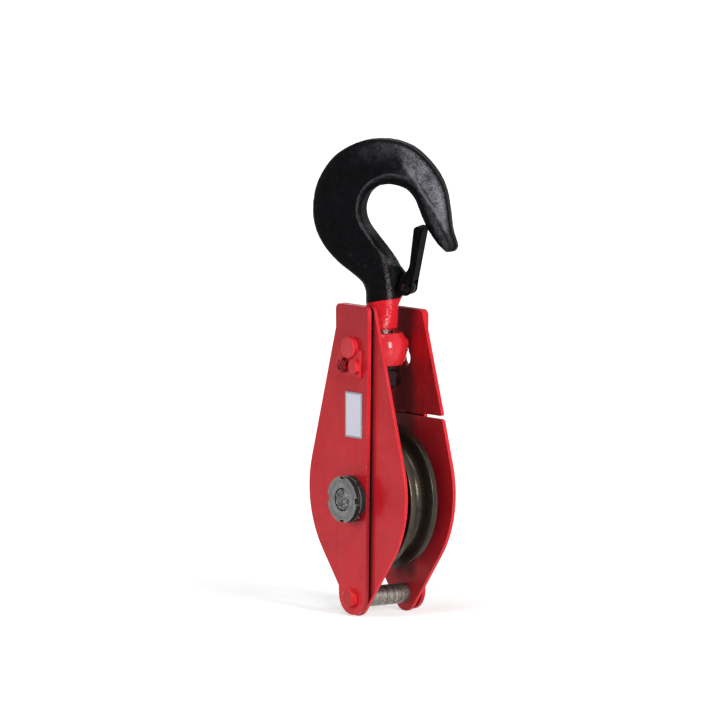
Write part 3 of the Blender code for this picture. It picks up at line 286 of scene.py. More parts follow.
class Finish(Nodes):
    """A Principled material, drawn over places on the part."""

    def __init__(self, name):
        self.mat = bpy.data.materials.new(name)
        self.mat.use_nodes = True
        super().__init__(self.mat.node_tree)
        self.shader = self.tree.nodes["Principled BSDF"]
        self.place = self.add("ShaderNodeTexCoord").outputs["Object"]

    def scaled(self, x, y, z):
        node = self.add("ShaderNodeMapping")
        self.give(self.place, node.inputs["Vector"])
        node.inputs["Scale"].default_value = (x, y, z)
        return node.outputs["Vector"]

    def noise(self, scale, detail=2.0, rough=0.5, place=None, bend=0.0):
        node = self.add("ShaderNodeTexNoise")
        self.give(place or self.place, node.inputs["Vector"])
        node.inputs["Scale"].default_value = scale
        node.inputs["Detail"].default_value = detail
        node.inputs["Roughness"].default_value = rough
        node.inputs["Distortion"].default_value = bend
        return node.outputs["Fac"]

    def flecks(self, scale, detail, rough, *limits):
        """Noise, spread between limits."""
        return self.spread(self.noise(scale, detail, rough), *limits)

    def cells(self, scale, feature="F1"):
        node = self.add("ShaderNodeTexVoronoi", feature=feature)
        self.give(self.place, node.inputs["Vector"])
        node.inputs["Scale"].default_value = scale
        return node.outputs["Distance"]

    def mixed(self, share, first, second):
        node = self.add("ShaderNodeMix", data_type="RGBA")
        self.give(share, node.inputs["Factor"])
        self.give(first, node.inputs[6])
        self.give(second, node.inputs[7])
        return node.outputs[2]

    def parts(self, vector):
        node = self.add("ShaderNodeSeparateXYZ")
        self.give(vector, node.inputs["Vector"])
        return node.outputs

    def spot(self):
        """X, Y and Z of the place in the row frame."""
        return self.parts(self.place)

    def facing(self):
        """X, Y and Z of the surface's direction."""
        return self.parts(self.add("ShaderNodeNewGeometry").outputs["Normal"])

    def joined(self, x, y, z):
        node = self.add("ShaderNodeCombineXYZ")
        for socket, value in zip(node.inputs, (x, y, z)):
            self.give(value, socket)
        return node.outputs["Vector"]

    def edges(self, radius, full=0.86):
        """1 on a convex or concave edge, 0 on a flat face."""
        soft = self.add("ShaderNodeBevel", samples=4)
        soft.inputs["Radius"].default_value = radius
        dot = self.add("ShaderNodeVectorMath", operation="DOT_PRODUCT")
        self.give(soft.outputs["Normal"], dot.inputs[0])
        self.give(self.add("ShaderNodeNewGeometry").outputs["Normal"], dot.inputs[1])
        return self.spread(dot.outputs["Value"], 0.995, full)

    def bump(self, height, strength, distance, under=None):
        node = self.add("ShaderNodeBump")
        node.inputs["Strength"].default_value = strength
        node.inputs["Distance"].default_value = distance
        self.give(height, node.inputs["Height"])
        if under is not None:
            self.give(under, node.inputs["Normal"])
        return node.outputs["Normal"]

    def done(self, colour, rough, normal, metallic=0.0, level=0.5):
        self.give(colour, self.shader.inputs["Base Color"])
        self.give(rough, self.shader.inputs["Roughness"])
        self.give(metallic, self.shader.inputs["Metallic"])
        self.give(normal, self.shader.inputs["Normal"])
        self.shader.inputs["Specular IOR Level"].default_value = level
        return self.mat


AXLE_Z = -SEAT_Z
BOLT_Z = BOTTOM_BOLT_Z - SEAT_Z
CRIMSON = (0.60, 0.016, 0.025)
CRIMSON_DEEP = (0.50, 0.010, 0.017)
CRIMSON_LIGHT = (0.72, 0.040, 0.052)
GRIME_AND_SHADE = (0.045, 0.012, 0.014)
BARE = (0.36, 0.30, 0.29)
HOLLOW_SHADE_HALF = (0.021, 0.009)     # where the painted shade, partly grease, in the rear plates' middle begins, is full
STRAP_SHADE = (0.0085, 0.0006)   # the same for the painted shadow beside a strap


def paint_finish(name, rough, dirt, chips, level, hollow=0, strap_shadow=0, low_edge_shade=0, top_dark_foot_lit=0):
    """Brushed-on red paint: faint vertical strokes, worn edges, some grime.

    hollow paints shade, partly grease, into the middle of the rear plates,
    strap_shadow paints the shadow under and beside a strap, low_edge_shade
    paints shade on the lower part of the strap's own edge, and
    top_dark_foot_lit darkens the upper end of a plate and paints light below the axle.
    """
    f = Finish(name)
    x, y, z = f.spot()
    nx, ny, nz = f.facing()
    strokes = f.noise(1.0, 3.0, 0.6, f.scaled(420, 420, 16))
    clouds = f.noise(26.0, 3.0, 0.55)
    tone = f.mixed(f.spread(strokes, 0.30, 0.70, 0.0, 0.80), CRIMSON, CRIMSON_DEEP)
    tone = f.mixed(f.spread(clouds, 0.42, 0.75, 0.0, 0.45), tone, CRIMSON_LIGHT)
    grime_and_shade = f.times(f.spread(f.noise(48.0, 5.0, 0.68, bend=0.6), 0.50, 0.80), dirt)
    # Painted shade, partly grease, in the middle of the rear plates under the crosshead and nut
    if hollow:
        wander = f.plus(f.unsigned(x), f.times(f.minus(clouds, 0.5), 0.016))
        over_foot = f.spread(z, AXLE_Z - 0.088, AXLE_Z - 0.074)
        grime_and_shade = f.most(grime_and_shade, f.times(f.spread(wander, *HOLLOW_SHADE_HALF, 0.0, hollow), over_foot))
    # Painted shadow of the strap on the paint under and beside it
    if strap_shadow:
        slope = (STRAP_END_HALF - STRAP_TOP_HALF) / (PLATE_TOP - STRAP_END_Z)
        strap_edge = f.plus(f.times(f.minus(AXLE_Z + PLATE_TOP, z), slope), STRAP_TOP_HALF)
        beyond = f.minus(f.unsigned(x), strap_edge)
        near = f.maths("POWER", f.spread(beyond, *STRAP_SHADE), 1.3)
        outer_face = f.spread(f.times(ny, -1.0), 0.3, 0.8)
        over_foot = f.spread(z, BOLT_Z - 0.008, BOLT_Z + 0.004)
        grime_and_shade = f.most(grime_and_shade, f.times(near, strap_shadow, outer_face, over_foot))
    # Painted shade on the lower part of the strap's side edges
    if low_edge_shade:
        beside = f.spread(f.unsigned(nx), 0.25, 0.75)
        grime_and_shade = f.most(grime_and_shade, f.times(beside, f.spread(z, AXLE_Z + 0.070, AXLE_Z), low_edge_shade))
    # Darker towards the upper end of a plate; painted light, a lighter red, below the axle
    if top_dark_foot_lit:
        upper = f.spread(z, AXLE_Z + 0.05, AXLE_Z + PLATE_TOP)
        grime_and_shade = f.most(grime_and_shade, f.times(upper, f.spread(f.unsigned(ny), 0.3, 0.8), top_dark_foot_lit))
        tone = f.mixed(f.spread(z, AXLE_Z, AXLE_Z - 0.09, 0.0, 0.60), tone, CRIMSON_LIGHT)
    # Grime and painted shade darken the paint
    tone = f.mixed(grime_and_shade, tone, GRIME_AND_SHADE)
    edge = f.edges(0.0010)
    # Lighter red on edges: partly thinned paint, partly a painted highlight
    tone = f.mixed(f.times(edge, 0.45), tone, CRIMSON_LIGHT)
    chip = f.times(edge, f.flecks(340.0, 4.0, 0.7, 0.60, 0.68), chips)
    specks = f.times(f.flecks(520.0, 2.0, 0.6, 0.77, 0.80), 0.30, chips)
    tone = f.mixed(f.most(chip, specks), tone, BARE)
    sheen = f.flecks(90.0, 3.0, 0.6, 0.3, 0.7, rough - 0.05, rough + 0.08)
    sheen = f.plus(sheen, f.times(grime_and_shade, 0.20))
    ridges = f.weighted((strokes, 0.7), (f.noise(620.0), 0.5))
    normal = f.bump(f.minus(1.0, chip), 0.35, 0.00015, f.bump(ridges, 0.30, 0.00022))
    return f.done(tone, sheen, normal, level=level)


RED = paint_finish("red_paint", 0.27, 0.22, 0.70, 0.15)
RED_GLOSS = paint_finish("red_paint_gloss", 0.17, 0.12, 0.30, 0.26)
RED_INSIDE = paint_finish("red_paint_grime_and_shade", 0.46, 0.60, 0.50, 0.07, hollow=0.80)
RED_FOOT = paint_finish("red_paint_foot", 0.42, 0.30, 0.50, 0.20, hollow=0.80, top_dark_foot_lit=0.02)
RED_CHEEK = paint_finish("red_paint_cheek", 0.23, 0.22, 0.70, 0.14, strap_shadow=0.95, top_dark_foot_lit=0.34)
RED_STRAP = paint_finish("red_paint_strap", 0.23, 0.26, 0.80, 0.14, low_edge_shade=0.62, top_dark_foot_lit=0.36)
RED_KEEPER = paint_finish("red_paint_keeper", 0.24, 0.34, 1.00, 0.15, top_dark_foot_lit=0.20)


BOWL_X = 0.0060           # middle of the hook's sweep, right of the swivel axis
BOWL_Z = -0.0520          # and below the seat
RIDGE_LINE = (0.832, 0.554)      # direction across the ridge on the right limb
RIDGE_FADE = (0.0290, 0.0345)    # how far along it the painted sheen begins, is full
RIDGE_CREST = 0.0330
SHANK_RED = (-0.1104, -0.1110)   # heights where black paint turns to red
THREAD_TOP = (-0.1386, -0.1390)  # and red paint to bare thread
STRIP_Z = -0.105                 # turning point of the overspray's curve
STRIP_X = 0.0105


def forging_finish():
    """Black paint on a rough forging, red on the shank, with some overspray."""
    f = Finish("black_forging")
    grain = f.noise(900.0, 4.0, 0.62)
    lumps = f.noise(130.0, 3.0, 0.55)
    uneven = f.minus(lumps, 0.5)
    x, y, z = f.spot()
    nx, ny, nz = f.facing()
    cos_turn = cos(HOOK_TURN)
    sin_turn = sin(HOOK_TURN)
    along = f.weighted((x, cos_turn), (y, sin_turn))
    # How far the surface faces away from the bowl's middle
    sideways = f.weighted((nx, cos_turn), (ny, sin_turn))
    right_of = f.minus(along, BOWL_X)
    over = f.minus(z, BOWL_Z)
    outward = f.weighted((sideways, right_of), (nz, over))
    outward = f.maths("DIVIDE", outward, f.length(right_of, over))
    # A painted sheen with a dusty speckle of painted glints, on the outer faces
    # of the crown and the point; it ends at the ridge that runs down to the point
    shoulder = f.plus(along, f.times(uneven, 0.022))
    sheen_and_dust_zone = f.spread(shoulder, -0.004, 0.040)
    sheen_and_dust_zone = f.times(sheen_and_dust_zone, sheen_and_dust_zone, f.spread(z, -0.066, -0.030, 0.30, 1.0))
    crown = f.times(f.spread(z, 0.018, 0.036, 0.0, 0.15), f.spread(shoulder, -0.030, 0.004))
    ridge = f.weighted((along, RIDGE_LINE[0]), (z, RIDGE_LINE[1]), (uneven, 0.004))
    sheen_and_dust_zone = f.most(f.times(sheen_and_dust_zone, f.spread(ridge, *RIDGE_FADE, 0.16, 1.0)), crown)
    # The painted sheen keeps to faces turned a little outward and fades on the outer rounding
    sheen_and_dust_zone = f.times(sheen_and_dust_zone, f.spread(outward, -0.10, 0.03), f.spread(outward, 0.80, 0.35))
    sheen_and_dust_zone = f.times(sheen_and_dust_zone, f.flecks(64.0, 3.0, 0.6, 0.34, 0.60, 0.25, 1.0))
    black = f.mixed(
        f.spread(lumps, 0.35, 0.70), (0.0010, 0.0011, 0.0014), (0.0028, 0.0029, 0.0035)
    )
    # Painted sheen: the black lifted towards grey
    black = f.mixed(f.times(sheen_and_dust_zone, 0.60), black, (0.150, 0.152, 0.172))
    dust_and_glints = f.times(f.flecks(950.0, 4.0, 0.7, 0.46, 0.62), sheen_and_dust_zone)
    dust_and_glints = f.plus(dust_and_glints, f.times(f.spread(grain, 0.56, 0.70), 0.010))
    black = f.mixed(dust_and_glints, black, (0.260, 0.262, 0.290))
    # A painted highlight along the inner ridge, where the side turns to the bowl
    turning = f.times(
        f.spread(outward, -0.03, -0.14), f.spread(outward, -0.44, -0.22),
        f.spread(z, -0.088, -0.072),
    )
    rub_and_highlight = f.times(turning, f.flecks(210.0, 4.0, 0.7, 0.36, 0.60, 0.25, 1.0), 0.60)
    black = f.mixed(rub_and_highlight, black, (0.085, 0.086, 0.095))
    # A painted highlight along the top of the ridge on the right limb
    crest_highlight = f.times(
        f.spread(f.unsigned(f.minus(ridge, RIDGE_CREST)), 0.0022, 0.0004),
        f.spread(z, 0.022, 0.002), f.spread(f.unsigned(outward), 0.5, 0.3), 0.70,
    )
    black = f.mixed(crest_highlight, black, (0.150, 0.152, 0.165))
    # Red overspray and glints in a strip up the shank's right shoulder
    rise = f.minus(z, STRIP_Z)
    strip = f.unsigned(f.minus(f.plus(f.times(rise, rise, 4.6), along), STRIP_X))
    strip = f.times(f.spread(strip, 0.0030, 0.0004), f.spread(z, -0.058, -0.090))
    spray = f.times(f.flecks(330.0, 4.0, 0.75, 0.50, 0.64), strip, 0.45)
    colour = f.mixed(spray, black, (0.150, 0.028, 0.034))
    glints = f.times(f.flecks(760.0, 3.0, 0.7, 0.46, 0.60), strip, 0.60)
    colour = f.mixed(glints, colour, (0.230, 0.220, 0.230))
    # Red paint from an uneven line down to the thread
    wander = f.times(f.minus(f.noise(70.0, 3.0, 0.6), 0.5), 0.0060)
    red_share = f.spread(f.plus(f.times(along, -0.17), z, wander), *SHANK_RED)
    colour = f.mixed(
        red_share, colour, f.mixed(f.spread(lumps, 0.35, 0.72), CRIMSON, CRIMSON_DEEP)
    )
    # Painted glints, pale pink, on the red of the shank in the same strip
    shank_glints = f.times(f.flecks(900.0, 3.0, 0.7, 0.55, 0.60), strip, red_share, 0.8)
    colour = f.mixed(shank_glints, colour, (0.82, 0.60, 0.60))
    bare = f.spread(z, *THREAD_TOP)
    colour = f.mixed(bare, colour, (0.10, 0.085, 0.082))
    rough = f.plus(
        f.spread(grain, 0.3, 0.7, 0.36, 0.54), f.spread(outward, -0.30, -0.85, 0.0, 0.30)
    )
    rough = f.mixed(bare, f.mixed(red_share, rough, 0.19), 0.33)
    height = f.plus(f.times(lumps, 1.2), grain, f.times(f.cells(520.0), 0.8))
    return f.done(colour, rough, f.bump(height, 0.65, 0.00045), bare, 0.030)


FORGING = forging_finish()


def sheet_finish(name, rub, spray, full):
    """The latch's pressed sheet: thin black paint that shows its scratches."""
    f = Finish(name)
    grain = f.noise(700.0, 4.0, 0.6)
    streaks = f.noise(1.0, 4.0, 0.65, f.scaled(900, 900, 60))
    colour = f.mixed(
        f.spread(streaks, 0.45, 0.75), (0.0012, 0.0013, 0.0013), (0.0060, 0.0060, 0.0062)
    )
    edge = f.edges(0.0008, full)
    # Lighter edges: wear on the paint, partly a painted highlight
    rub_and_highlight = f.times(edge, f.flecks(300.0, 4.0, 0.7, 0.42, 0.62, 0.15, 1.0), rub)
    colour = f.mixed(rub_and_highlight, colour, (0.090, 0.075, 0.075))
    low = f.spread(f.spot()[2], -0.080, -0.098)
    sprayed = f.times(f.flecks(200.0, 4.0, 0.75, 0.57, 0.68), low, spray)
    colour = f.mixed(sprayed, colour, (0.20, 0.022, 0.026))
    normal = f.bump(f.plus(grain, streaks), 0.25, 0.00020)
    return f.done(colour, f.spread(grain, 0.3, 0.7, 0.58, 0.75), normal, level=0.014)


SHEET = sheet_finish("black_sheet", 0.45, 0.35, 0.86)
RIVET = sheet_finish("black_rivet", 1.0, 0.25, 0.95)

TOOL_MARKS = 2600.0       # scale of the fine rings on turned steel


def turned_finish(
    name, dark, light, stain, rough, axis_z=AXLE_Z, metallic=1.0, strength=0.30, grit=0.0,
    black_rim=0.0, pitch=260.0,
):
    """Steel turned about a line along Y at height axis_z: rings and stains.

    black_rim darkens every surface that does not face along Y, and pitch
    sets how close together the rings lie.
    """
    f = Finish(name)
    x, y, z = f.spot()
    radius = f.length(x, f.minus(z, axis_z))
    fine_place = f.joined(f.times(radius, TOOL_MARKS), f.times(y, TOOL_MARKS), 0.0)
    rings = f.noise(1.0, 4.0, 0.7, fine_place)
    bands = f.noise(1.0, 2.0, 0.5, f.joined(f.times(radius, pitch), f.times(y, pitch), 3.0))
    mottle = f.noise(75.0, 5.0, 0.65, bend=0.8)
    fine = f.noise(420.0, 4.0, 0.65)
    colour = f.mixed(f.spread(bands, 0.35, 0.68), dark, light)
    colour = f.mixed(f.spread(mottle, 0.50, 0.72, 0.0, 0.85), colour, stain)
    colour = f.mixed(f.times(f.spread(fine, 0.48, 0.66), grit), colour, stain)
    sheen = f.weighted((mottle, 1.0), (rings, 0.6))
    sheen = f.spread(sheen, 0.55, 1.05, rough - 0.08, rough + 0.16)
    if black_rim:
        rim = f.spread(f.unsigned(f.facing()[1]), 0.75, 0.45)
        colour = f.mixed(f.times(rim, black_rim), colour, (0.006, 0.005, 0.004))
        sheen = f.plus(sheen, f.times(rim, 0.22))
    # Lighter edges: wear, partly a painted highlight
    worn = f.times(f.edges(0.0011), f.spread(fine, 0.36, 0.60), 0.7)
    bright = tuple(min(1.0, channel * 2.6 + 0.05) for channel in light)
    colour = f.mixed(worn, colour, bright)
    height = f.weighted((rings, 1.0 - grit), (fine, grit + 0.15))
    return f.done(colour, sheen, f.bump(height, strength, 0.00018), metallic)


SHEAVE_STEEL = turned_finish(
    "brown_steel", (0.020, 0.016, 0.012), (0.066, 0.050, 0.035), (0.010, 0.011, 0.011), 0.27,
    metallic=0.75,
)
OXIDE = turned_finish(
    "dark_oxide", (0.130, 0.138, 0.134), (0.200, 0.208, 0.202), (0.040, 0.043, 0.042), 0.50,
    metallic=0.60, strength=0.40, grit=0.45, black_rim=0.97,
)
WASHER_STEEL = turned_finish(
    "washer_steel", (0.090, 0.086, 0.080), (0.170, 0.164, 0.155), (0.040, 0.036, 0.030), 0.46,
    metallic=0.9, grit=0.2,
)
TUBE_STEEL = turned_finish(
    "tube_steel", (0.060, 0.052, 0.042), (0.560, 0.530, 0.470), (0.026, 0.020, 0.015), 0.34,
    axis_z=BOLT_Z, metallic=0.9, strength=1.0, grit=0.55, pitch=1300.0,
)
BRONZE = turned_finish(
    "bush_bronze", (0.36, 0.22, 0.10), (0.55, 0.36, 0.18), (0.16, 0.10, 0.05), 0.36
)


def grease_and_shade_finish():
    """Dark, wet grease over the nut and washer under the crosshead, made near black and reddish as
    painted shade.
    """
    f = Finish("dark_grease_and_shade")
    smears = f.noise(150.0, 4.0, 0.65, bend=1.4)
    colour = f.mixed(f.spread(smears, 0.42, 0.68), (0.007, 0.002, 0.002), (0.034, 0.010, 0.010))
    rough = f.spread(smears, 0.3, 0.7, 0.34, 0.55)
    return f.done(colour, rough, f.bump(smears, 0.5, 0.00040), level=0.05)


def axle_end_finish():
    """The sawn, hammered end of the axle inside its nut."""
    f = Finish("axle_end")
    dents = f.cells(210.0, "SMOOTH_F1")
    saw = f.noise(300.0, 4.0, 0.66, bend=1.6)
    colour = f.mixed(f.spread(saw, 0.45, 0.60), (0.010, 0.010, 0.011), (0.36, 0.36, 0.37))
    colour = f.mixed(f.spread(dents, 0.15, 0.40, 0.0, 0.5), colour, (0.04, 0.04, 0.042))
    normal = f.bump(f.plus(dents, saw), 1.0, 0.00120)
    return f.done(colour, f.spread(saw, 0.3, 0.7, 0.28, 0.55), normal, 0.85)


def bolt_paint_finish(name, dirt, level=0.20):
    """Thick paint on a bolt's head: uneven, with darker patches."""
    f = Finish(name)
    brush = f.noise(240.0, 4.0, 0.65, bend=1.5)
    tone = f.mixed(f.spread(brush, 0.35, 0.66), (0.74, 0.024, 0.030), (0.46, 0.014, 0.020))
    tone = f.mixed(f.times(f.spread(brush, 0.38, 0.52), dirt), tone, (0.055, 0.006, 0.008))
    # Pale edges: wear on the paint, partly a painted highlight
    worn = f.times(f.edges(0.0007), f.flecks(520.0, 4.0, 0.7, 0.46, 0.60), 0.40)
    tone = f.mixed(worn, tone, (0.60, 0.26, 0.27))
    rough = f.spread(brush, 0.3, 0.7, 0.26, 0.42)
    return f.done(tone, rough, f.bump(brush, 0.55, 0.00045), level=level)


def label_finish():
    """A bare anodised plate with a slightly darker pressed border."""
    f = Finish("name_plate")
    x, y, z = f.spot()
    across = f.minus(LABEL_WIDTH / 2, f.unsigned(f.minus(x, LABEL_X)))
    upward = f.minus(LABEL_HEIGHT / 2, f.unsigned(f.minus(z, LABEL_Z - SEAT_Z)))
    border = f.spread(f.maths("MINIMUM", across, upward), 0.0022, 0.0015)
    brushed = f.noise(1.0, 4.0, 0.6, f.scaled(1600, 1600, 90))
    colour = f.mixed(f.spread(brushed, 0.3, 0.7), (0.60, 0.59, 0.69), (0.66, 0.65, 0.75))
    stain = f.flecks(60.0, 4.0, 0.6, 0.50, 0.75, 0.0, 0.35)
    colour = f.mixed(stain, colour, (0.50, 0.49, 0.56))
    colour = f.mixed(border, colour, (0.27, 0.31, 0.36))
    normal = f.bump(f.minus(brushed, border), 0.20, 0.00012)
    return f.done(colour, 0.42, normal, 0.15, 0.4)


GREASE_AND_SHADE = grease_and_shade_finish()
AXLE_END = axle_end_finish()
BOLT_RED = bolt_paint_finish("bolt_paint", 0.15)
BOLT_DIRTY = bolt_paint_finish("bolt_paint_dark", 0.95, 0.05)
BOLT_BRIGHT = bolt_paint_finish("bolt_paint_bright", 0.05)
LABEL = label_finish()


# -------------------------------------------------------------- mesh making
def arc(cx, cy, radius, start, end, steps=0):
    steps = steps or max(2, int(abs(end - start) / ARC_STEP) + 1)
    points = []
    for i in range(steps + 1):
        a = start + (end - start) * i / steps
        points.append((cx + radius * cos(a), cy + radius * sin(a)))
    return points


def circle(cx, cy, radius, steps=72):
    return arc(cx, cy, radius, 0.0, 2 * pi, steps)[:-1]


def rounded(corners):
    """Outline through (x, y, radius) corners, each rounded by its radius."""
    points = []
    count = len(corners)
    for i, (x, y, radius) in enumerate(corners):
        if radius <= 0:
            points.append((x, y))
            continue
        here = Vector((x, y))
        before = (Vector(corners[i - 1][:2]) - here).normalized()
        after = (Vector(corners[(i + 1) % count][:2]) - here).normalized()
        half = before.angle(after) / 2
        centre = here + (before + after).normalized() * (radius / sin(half))
        start = here + before * (radius / tan(half)) - centre
        end = here + after * (radius / tan(half)) - centre
        a = atan2(start.y, start.x)
        sweep = atan2(end.y, end.x) - a
        while sweep > pi:
            sweep -= 2 * pi
        while sweep < -pi:
            sweep += 2 * pi
        points += arc(centre.x, centre.y, radius, a, a + sweep)
    return points


def both_sides(right_half):
    """(x, y, radius) corners from the top down, with those left of X = 0."""
    left = [(-x, y, r) for x, y, r in right_half if x > 0]
    return left[:1] + right_half + left[:0:-1]


def both_ends(upper_half, between=()):
    """(radius, height, rounding) corners and their mirror image below."""
    return upper_half + list(between) + [(r, -h, e) for r, h, e in reversed(upper_half)]


def add_object(name, mesh):
    obj = bpy.data.objects.new(name, mesh)
    bpy.context.scene.collection.objects.link(obj)
    return obj


def evaluated_mesh(obj):
    bpy.context.view_layer.update()
    graph = bpy.context.evaluated_depsgraph_get()
    return bpy.data.meshes.new_from_object(
        obj.evaluated_get(graph), preserve_all_data_layers=True, depsgraph=graph
    )


def outline_piece(name, loops, thickness):
    """Flat outline with holes in XY, extruded evenly about Z = 0."""
    curve = bpy.data.curves.new(name + "_outline", "CURVE")
    curve.dimensions = "2D"
    curve.fill_mode = "BOTH"
    curve.extrude = thickness / 2
    for loop in loops:
        spline = curve.splines.new("POLY")
        spline.points.add(len(loop) - 1)
        for point, (x, y) in zip(spline.points, loop):
            point.co = (x, y, 0, 1)
        spline.use_cyclic_u = True
    source = add_object(name + "_outline", curve)
    mesh = evaluated_mesh(source)
    bpy.data.objects.remove(source, do_unlink=True)
    work = bmesh.new()
    work.from_mesh(mesh)
    bmesh.ops.remove_doubles(work, verts=work.verts, dist=WELD)
    bmesh.ops.dissolve_limit(work, angle_limit=0.001, verts=work.verts, edges=work.edges)
    bmesh.ops.recalc_face_normals(work, faces=work.faces)
    work.to_mesh(mesh)
    work.free()
    mesh.name = name
    return add_object(name, mesh)


def revolved_piece(name, corners, steps=96):
    """Closed outline of (radius, height, rounding) corners, turned about Z."""
    work = bmesh.new()
    rings = []
    for radius, height in rounded(corners):
        if radius < 1e-7:
            rings.append([work.verts.new((0, 0, height))])
            continue
        ring = []
        for k in range(steps):
            a = 2 * pi * k / steps
            ring.append(work.verts.new((radius * cos(a), radius * sin(a), height)))
        rings.append(ring)
    for first, second in zip(rings, rings[1:] + rings[:1]):
        if len(first) == 1 and len(second) == 1:
            continue
        for k in range(steps):
            n = (k + 1) % steps
            if len(first) == 1:
                work.faces.new((first[0], second[n], second[k]))
            elif len(second) == 1:
                work.faces.new((first[k], first[n], second[0]))
            else:
                work.faces.new((first[k], first[n], second[n], second[k]))
    return from_bmesh(work, name)


def from_bmesh(work, name):
    """An object from faces that are all turned outwards first."""
    bmesh.ops.recalc_face_normals(work, faces=work.faces)
    mesh = bpy.data.meshes.new(name)
    work.to_mesh(mesh)
    work.free()
    return add_object(name, mesh)


def applied(obj):
    """Turns the object's modifiers into its mesh."""
    mesh = evaluated_mesh(obj)
    obj.modifiers.clear()
    old = obj.data
    obj.data = mesh
    bpy.data.meshes.remove(old)
    return obj


def combined(obj, tool, operation):
    cut = obj.modifiers.new("cut", "BOOLEAN")
    cut.operation = operation
    cut.object = tool
    cut.solver = "EXACT"
    applied(obj)
    bpy.data.objects.remove(tool, do_unlink=True)
    return obj


def smooth(obj, sharp=35):
    obj.data.shade_smooth()
    obj.data.set_sharp_from_angle(angle=radians(sharp))
    return obj


def eased(obj, width, segments=3, limit=30):
    """Rounds the object's edges and evens out its shading."""
    bevel = obj.modifiers.new("edges", "BEVEL")
    bevel.width = width
    bevel.segments = segments
    bevel.limit_method = "ANGLE"
    bevel.angle_limit = radians(limit)
    bevel.use_clamp_overlap = True
    applied(obj)
    smooth(obj, 50)
    even = obj.modifiers.new("shading", "WEIGHTED_NORMAL")
    even.keep_sharp = True
    return applied(obj)


def placed(obj, matrix):
    obj.data.transform(matrix)
    obj.data.update()
    return obj


def dressed(obj, matrix, mat, node=None, body="frame"):
    """Places a piece, paints it and lets it ride in place of a CAD node."""
    placed(obj, matrix)
    obj.data.materials.clear()
    obj.data.materials.append(mat)
    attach(obj, body)
    if node:
        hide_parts(node)
    return obj


# ------------------------------------------------------------- side plates
def flank_x(z):
    return CHEEK_TOP_HALF + (PLATE_TOP - z) * tan(UPPER_FLANK)


def strap_x(z):
    share = (PLATE_TOP - z) / (PLATE_TOP - STRAP_END_Z)
    return STRAP_TOP_HALF + (STRAP_END_HALF - STRAP_TOP_HALF) * share


SIDE_X = flank_x(FLANK_MEET_Z)
LOW_POINT = FLANK_MEET_Z - SIDE_X / tan(LOWER_FLANK)
lower_cheek = [(SIDE_X, FLANK_MEET_Z, CHEEK_SIDE_RADIUS), (0, LOW_POINT, CHEEK_END_RADIUS)]
strap_foot = [(STRAP_END_HALF, STRAP_END_Z, STRAP_END_HALF * FULL_ROUND)]
front_cheek_loop = rounded(both_sides([(CHEEK_TOP_HALF, PLATE_TOP, CHEEK_CORNER)] + lower_cheek))
rear_cheek_loop = rounded(both_sides([(flank_x(CHEEK_SPLIT), CHEEK_SPLIT, 0.0040)] + lower_cheek))
gate_cheek_loop = rounded(both_sides([
    (flank_x(GATE_TOP) - 0.0015, GATE_TOP, CHEEK_CORNER),
    (flank_x(GATE_LOW), GATE_LOW, 0.0020),
]))
front_strap_loop = rounded(both_sides([(STRAP_TOP_HALF, PLATE_TOP, CHEEK_CORNER)] + strap_foot))
rear_strap_loop = rounded(both_sides([(strap_x(STRAP_SPLIT), STRAP_SPLIT, 0.0030)] + strap_foot))
notch_half = EAR_HALF + 2 * FIT
notch_top = HINGE_Z + GATE_LIFT + LUG_RADIUS + 0.0012
gate_strap_loop = rounded(both_sides([
    (strap_x(GATE_TOP), GATE_TOP, CHEEK_CORNER),
    (strap_x(GATE_STRAP_LOW), GATE_STRAP_LOW, 0.0030),
    (notch_half, GATE_STRAP_LOW, 0),
    (notch_half, notch_top, 0.0015),
]))


def keyhole():
    narrow = REAR_NECK + FIT
    turn = pi / 2 + asin(narrow / KEYHOLE_WIDE)
    top = arc(0, TRUNNION_Z, narrow, 0.0, pi)
    return top + arc(0, TRUNNION_Z - GATE_LIFT, KEYHOLE_WIDE, turn, 3 * pi - turn)


trunnion_hole = circle(0, TRUNNION_Z, TRUNNION_RADIUS + FIT)
axle_hole = circle(0, 0, AXLE_END_RADIUS + FIT)
bolt_hole = circle(0, BOTTOM_BOLT_Z, BOLT_RADIUS + FIT, 48)
keeper_holes = [circle(x, KEEPER_BOLT_Z, KEEPER_BOLT_RADIUS + FIT, 40) for x in KEEPER_BOLT_X]
lower_holes = [axle_hole, bolt_hole]
front_holes = [trunnion_hole] + lower_holes


def side_plate(node, loops, y_in, thickness, mat, body="frame", edge=PLATE_EDGE):
    """A plate in the XZ plane in place of a CAD node.

    y_in is where its inner face lies: behind the middle, or if negative in
    front of it.
    """
    plate = outline_piece(node + "_fine", loops, thickness)
    eased(plate, edge)
    y_mid = y_in + copysign(thickness / 2, y_in)
    return dressed(plate, shift(0, y_mid, 0) @ SIDE, mat, node, body)


side_plate("front_cheek", [front_cheek_loop] + front_holes, -CHEEK_IN, CHEEK_THICK, RED_CHEEK)
side_plate(
    "front_strap", [front_strap_loop] + front_holes + keeper_holes,
    -STRAP_IN, STRAP_THICK, RED_STRAP,
)
side_plate("rear_cheek", [rear_cheek_loop] + lower_holes, CHEEK_IN, CHEEK_THICK, RED_FOOT)
side_plate("rear_strap", [rear_strap_loop] + lower_holes, STRAP_IN, STRAP_THICK, RED)
side_plate("gate_cheek", [gate_cheek_loop, keyhole()], CHEEK_IN, CHEEK_THICK, RED_INSIDE, "gate")
side_plate("gate_strap", [gate_strap_loop, keyhole()], STRAP_IN, STRAP_THICK, RED, "gate")


# -------------------------------------------------------------- gate hinge
HINGE = BLOCK @ shift(0, HINGE_Y, HINGE_Z)


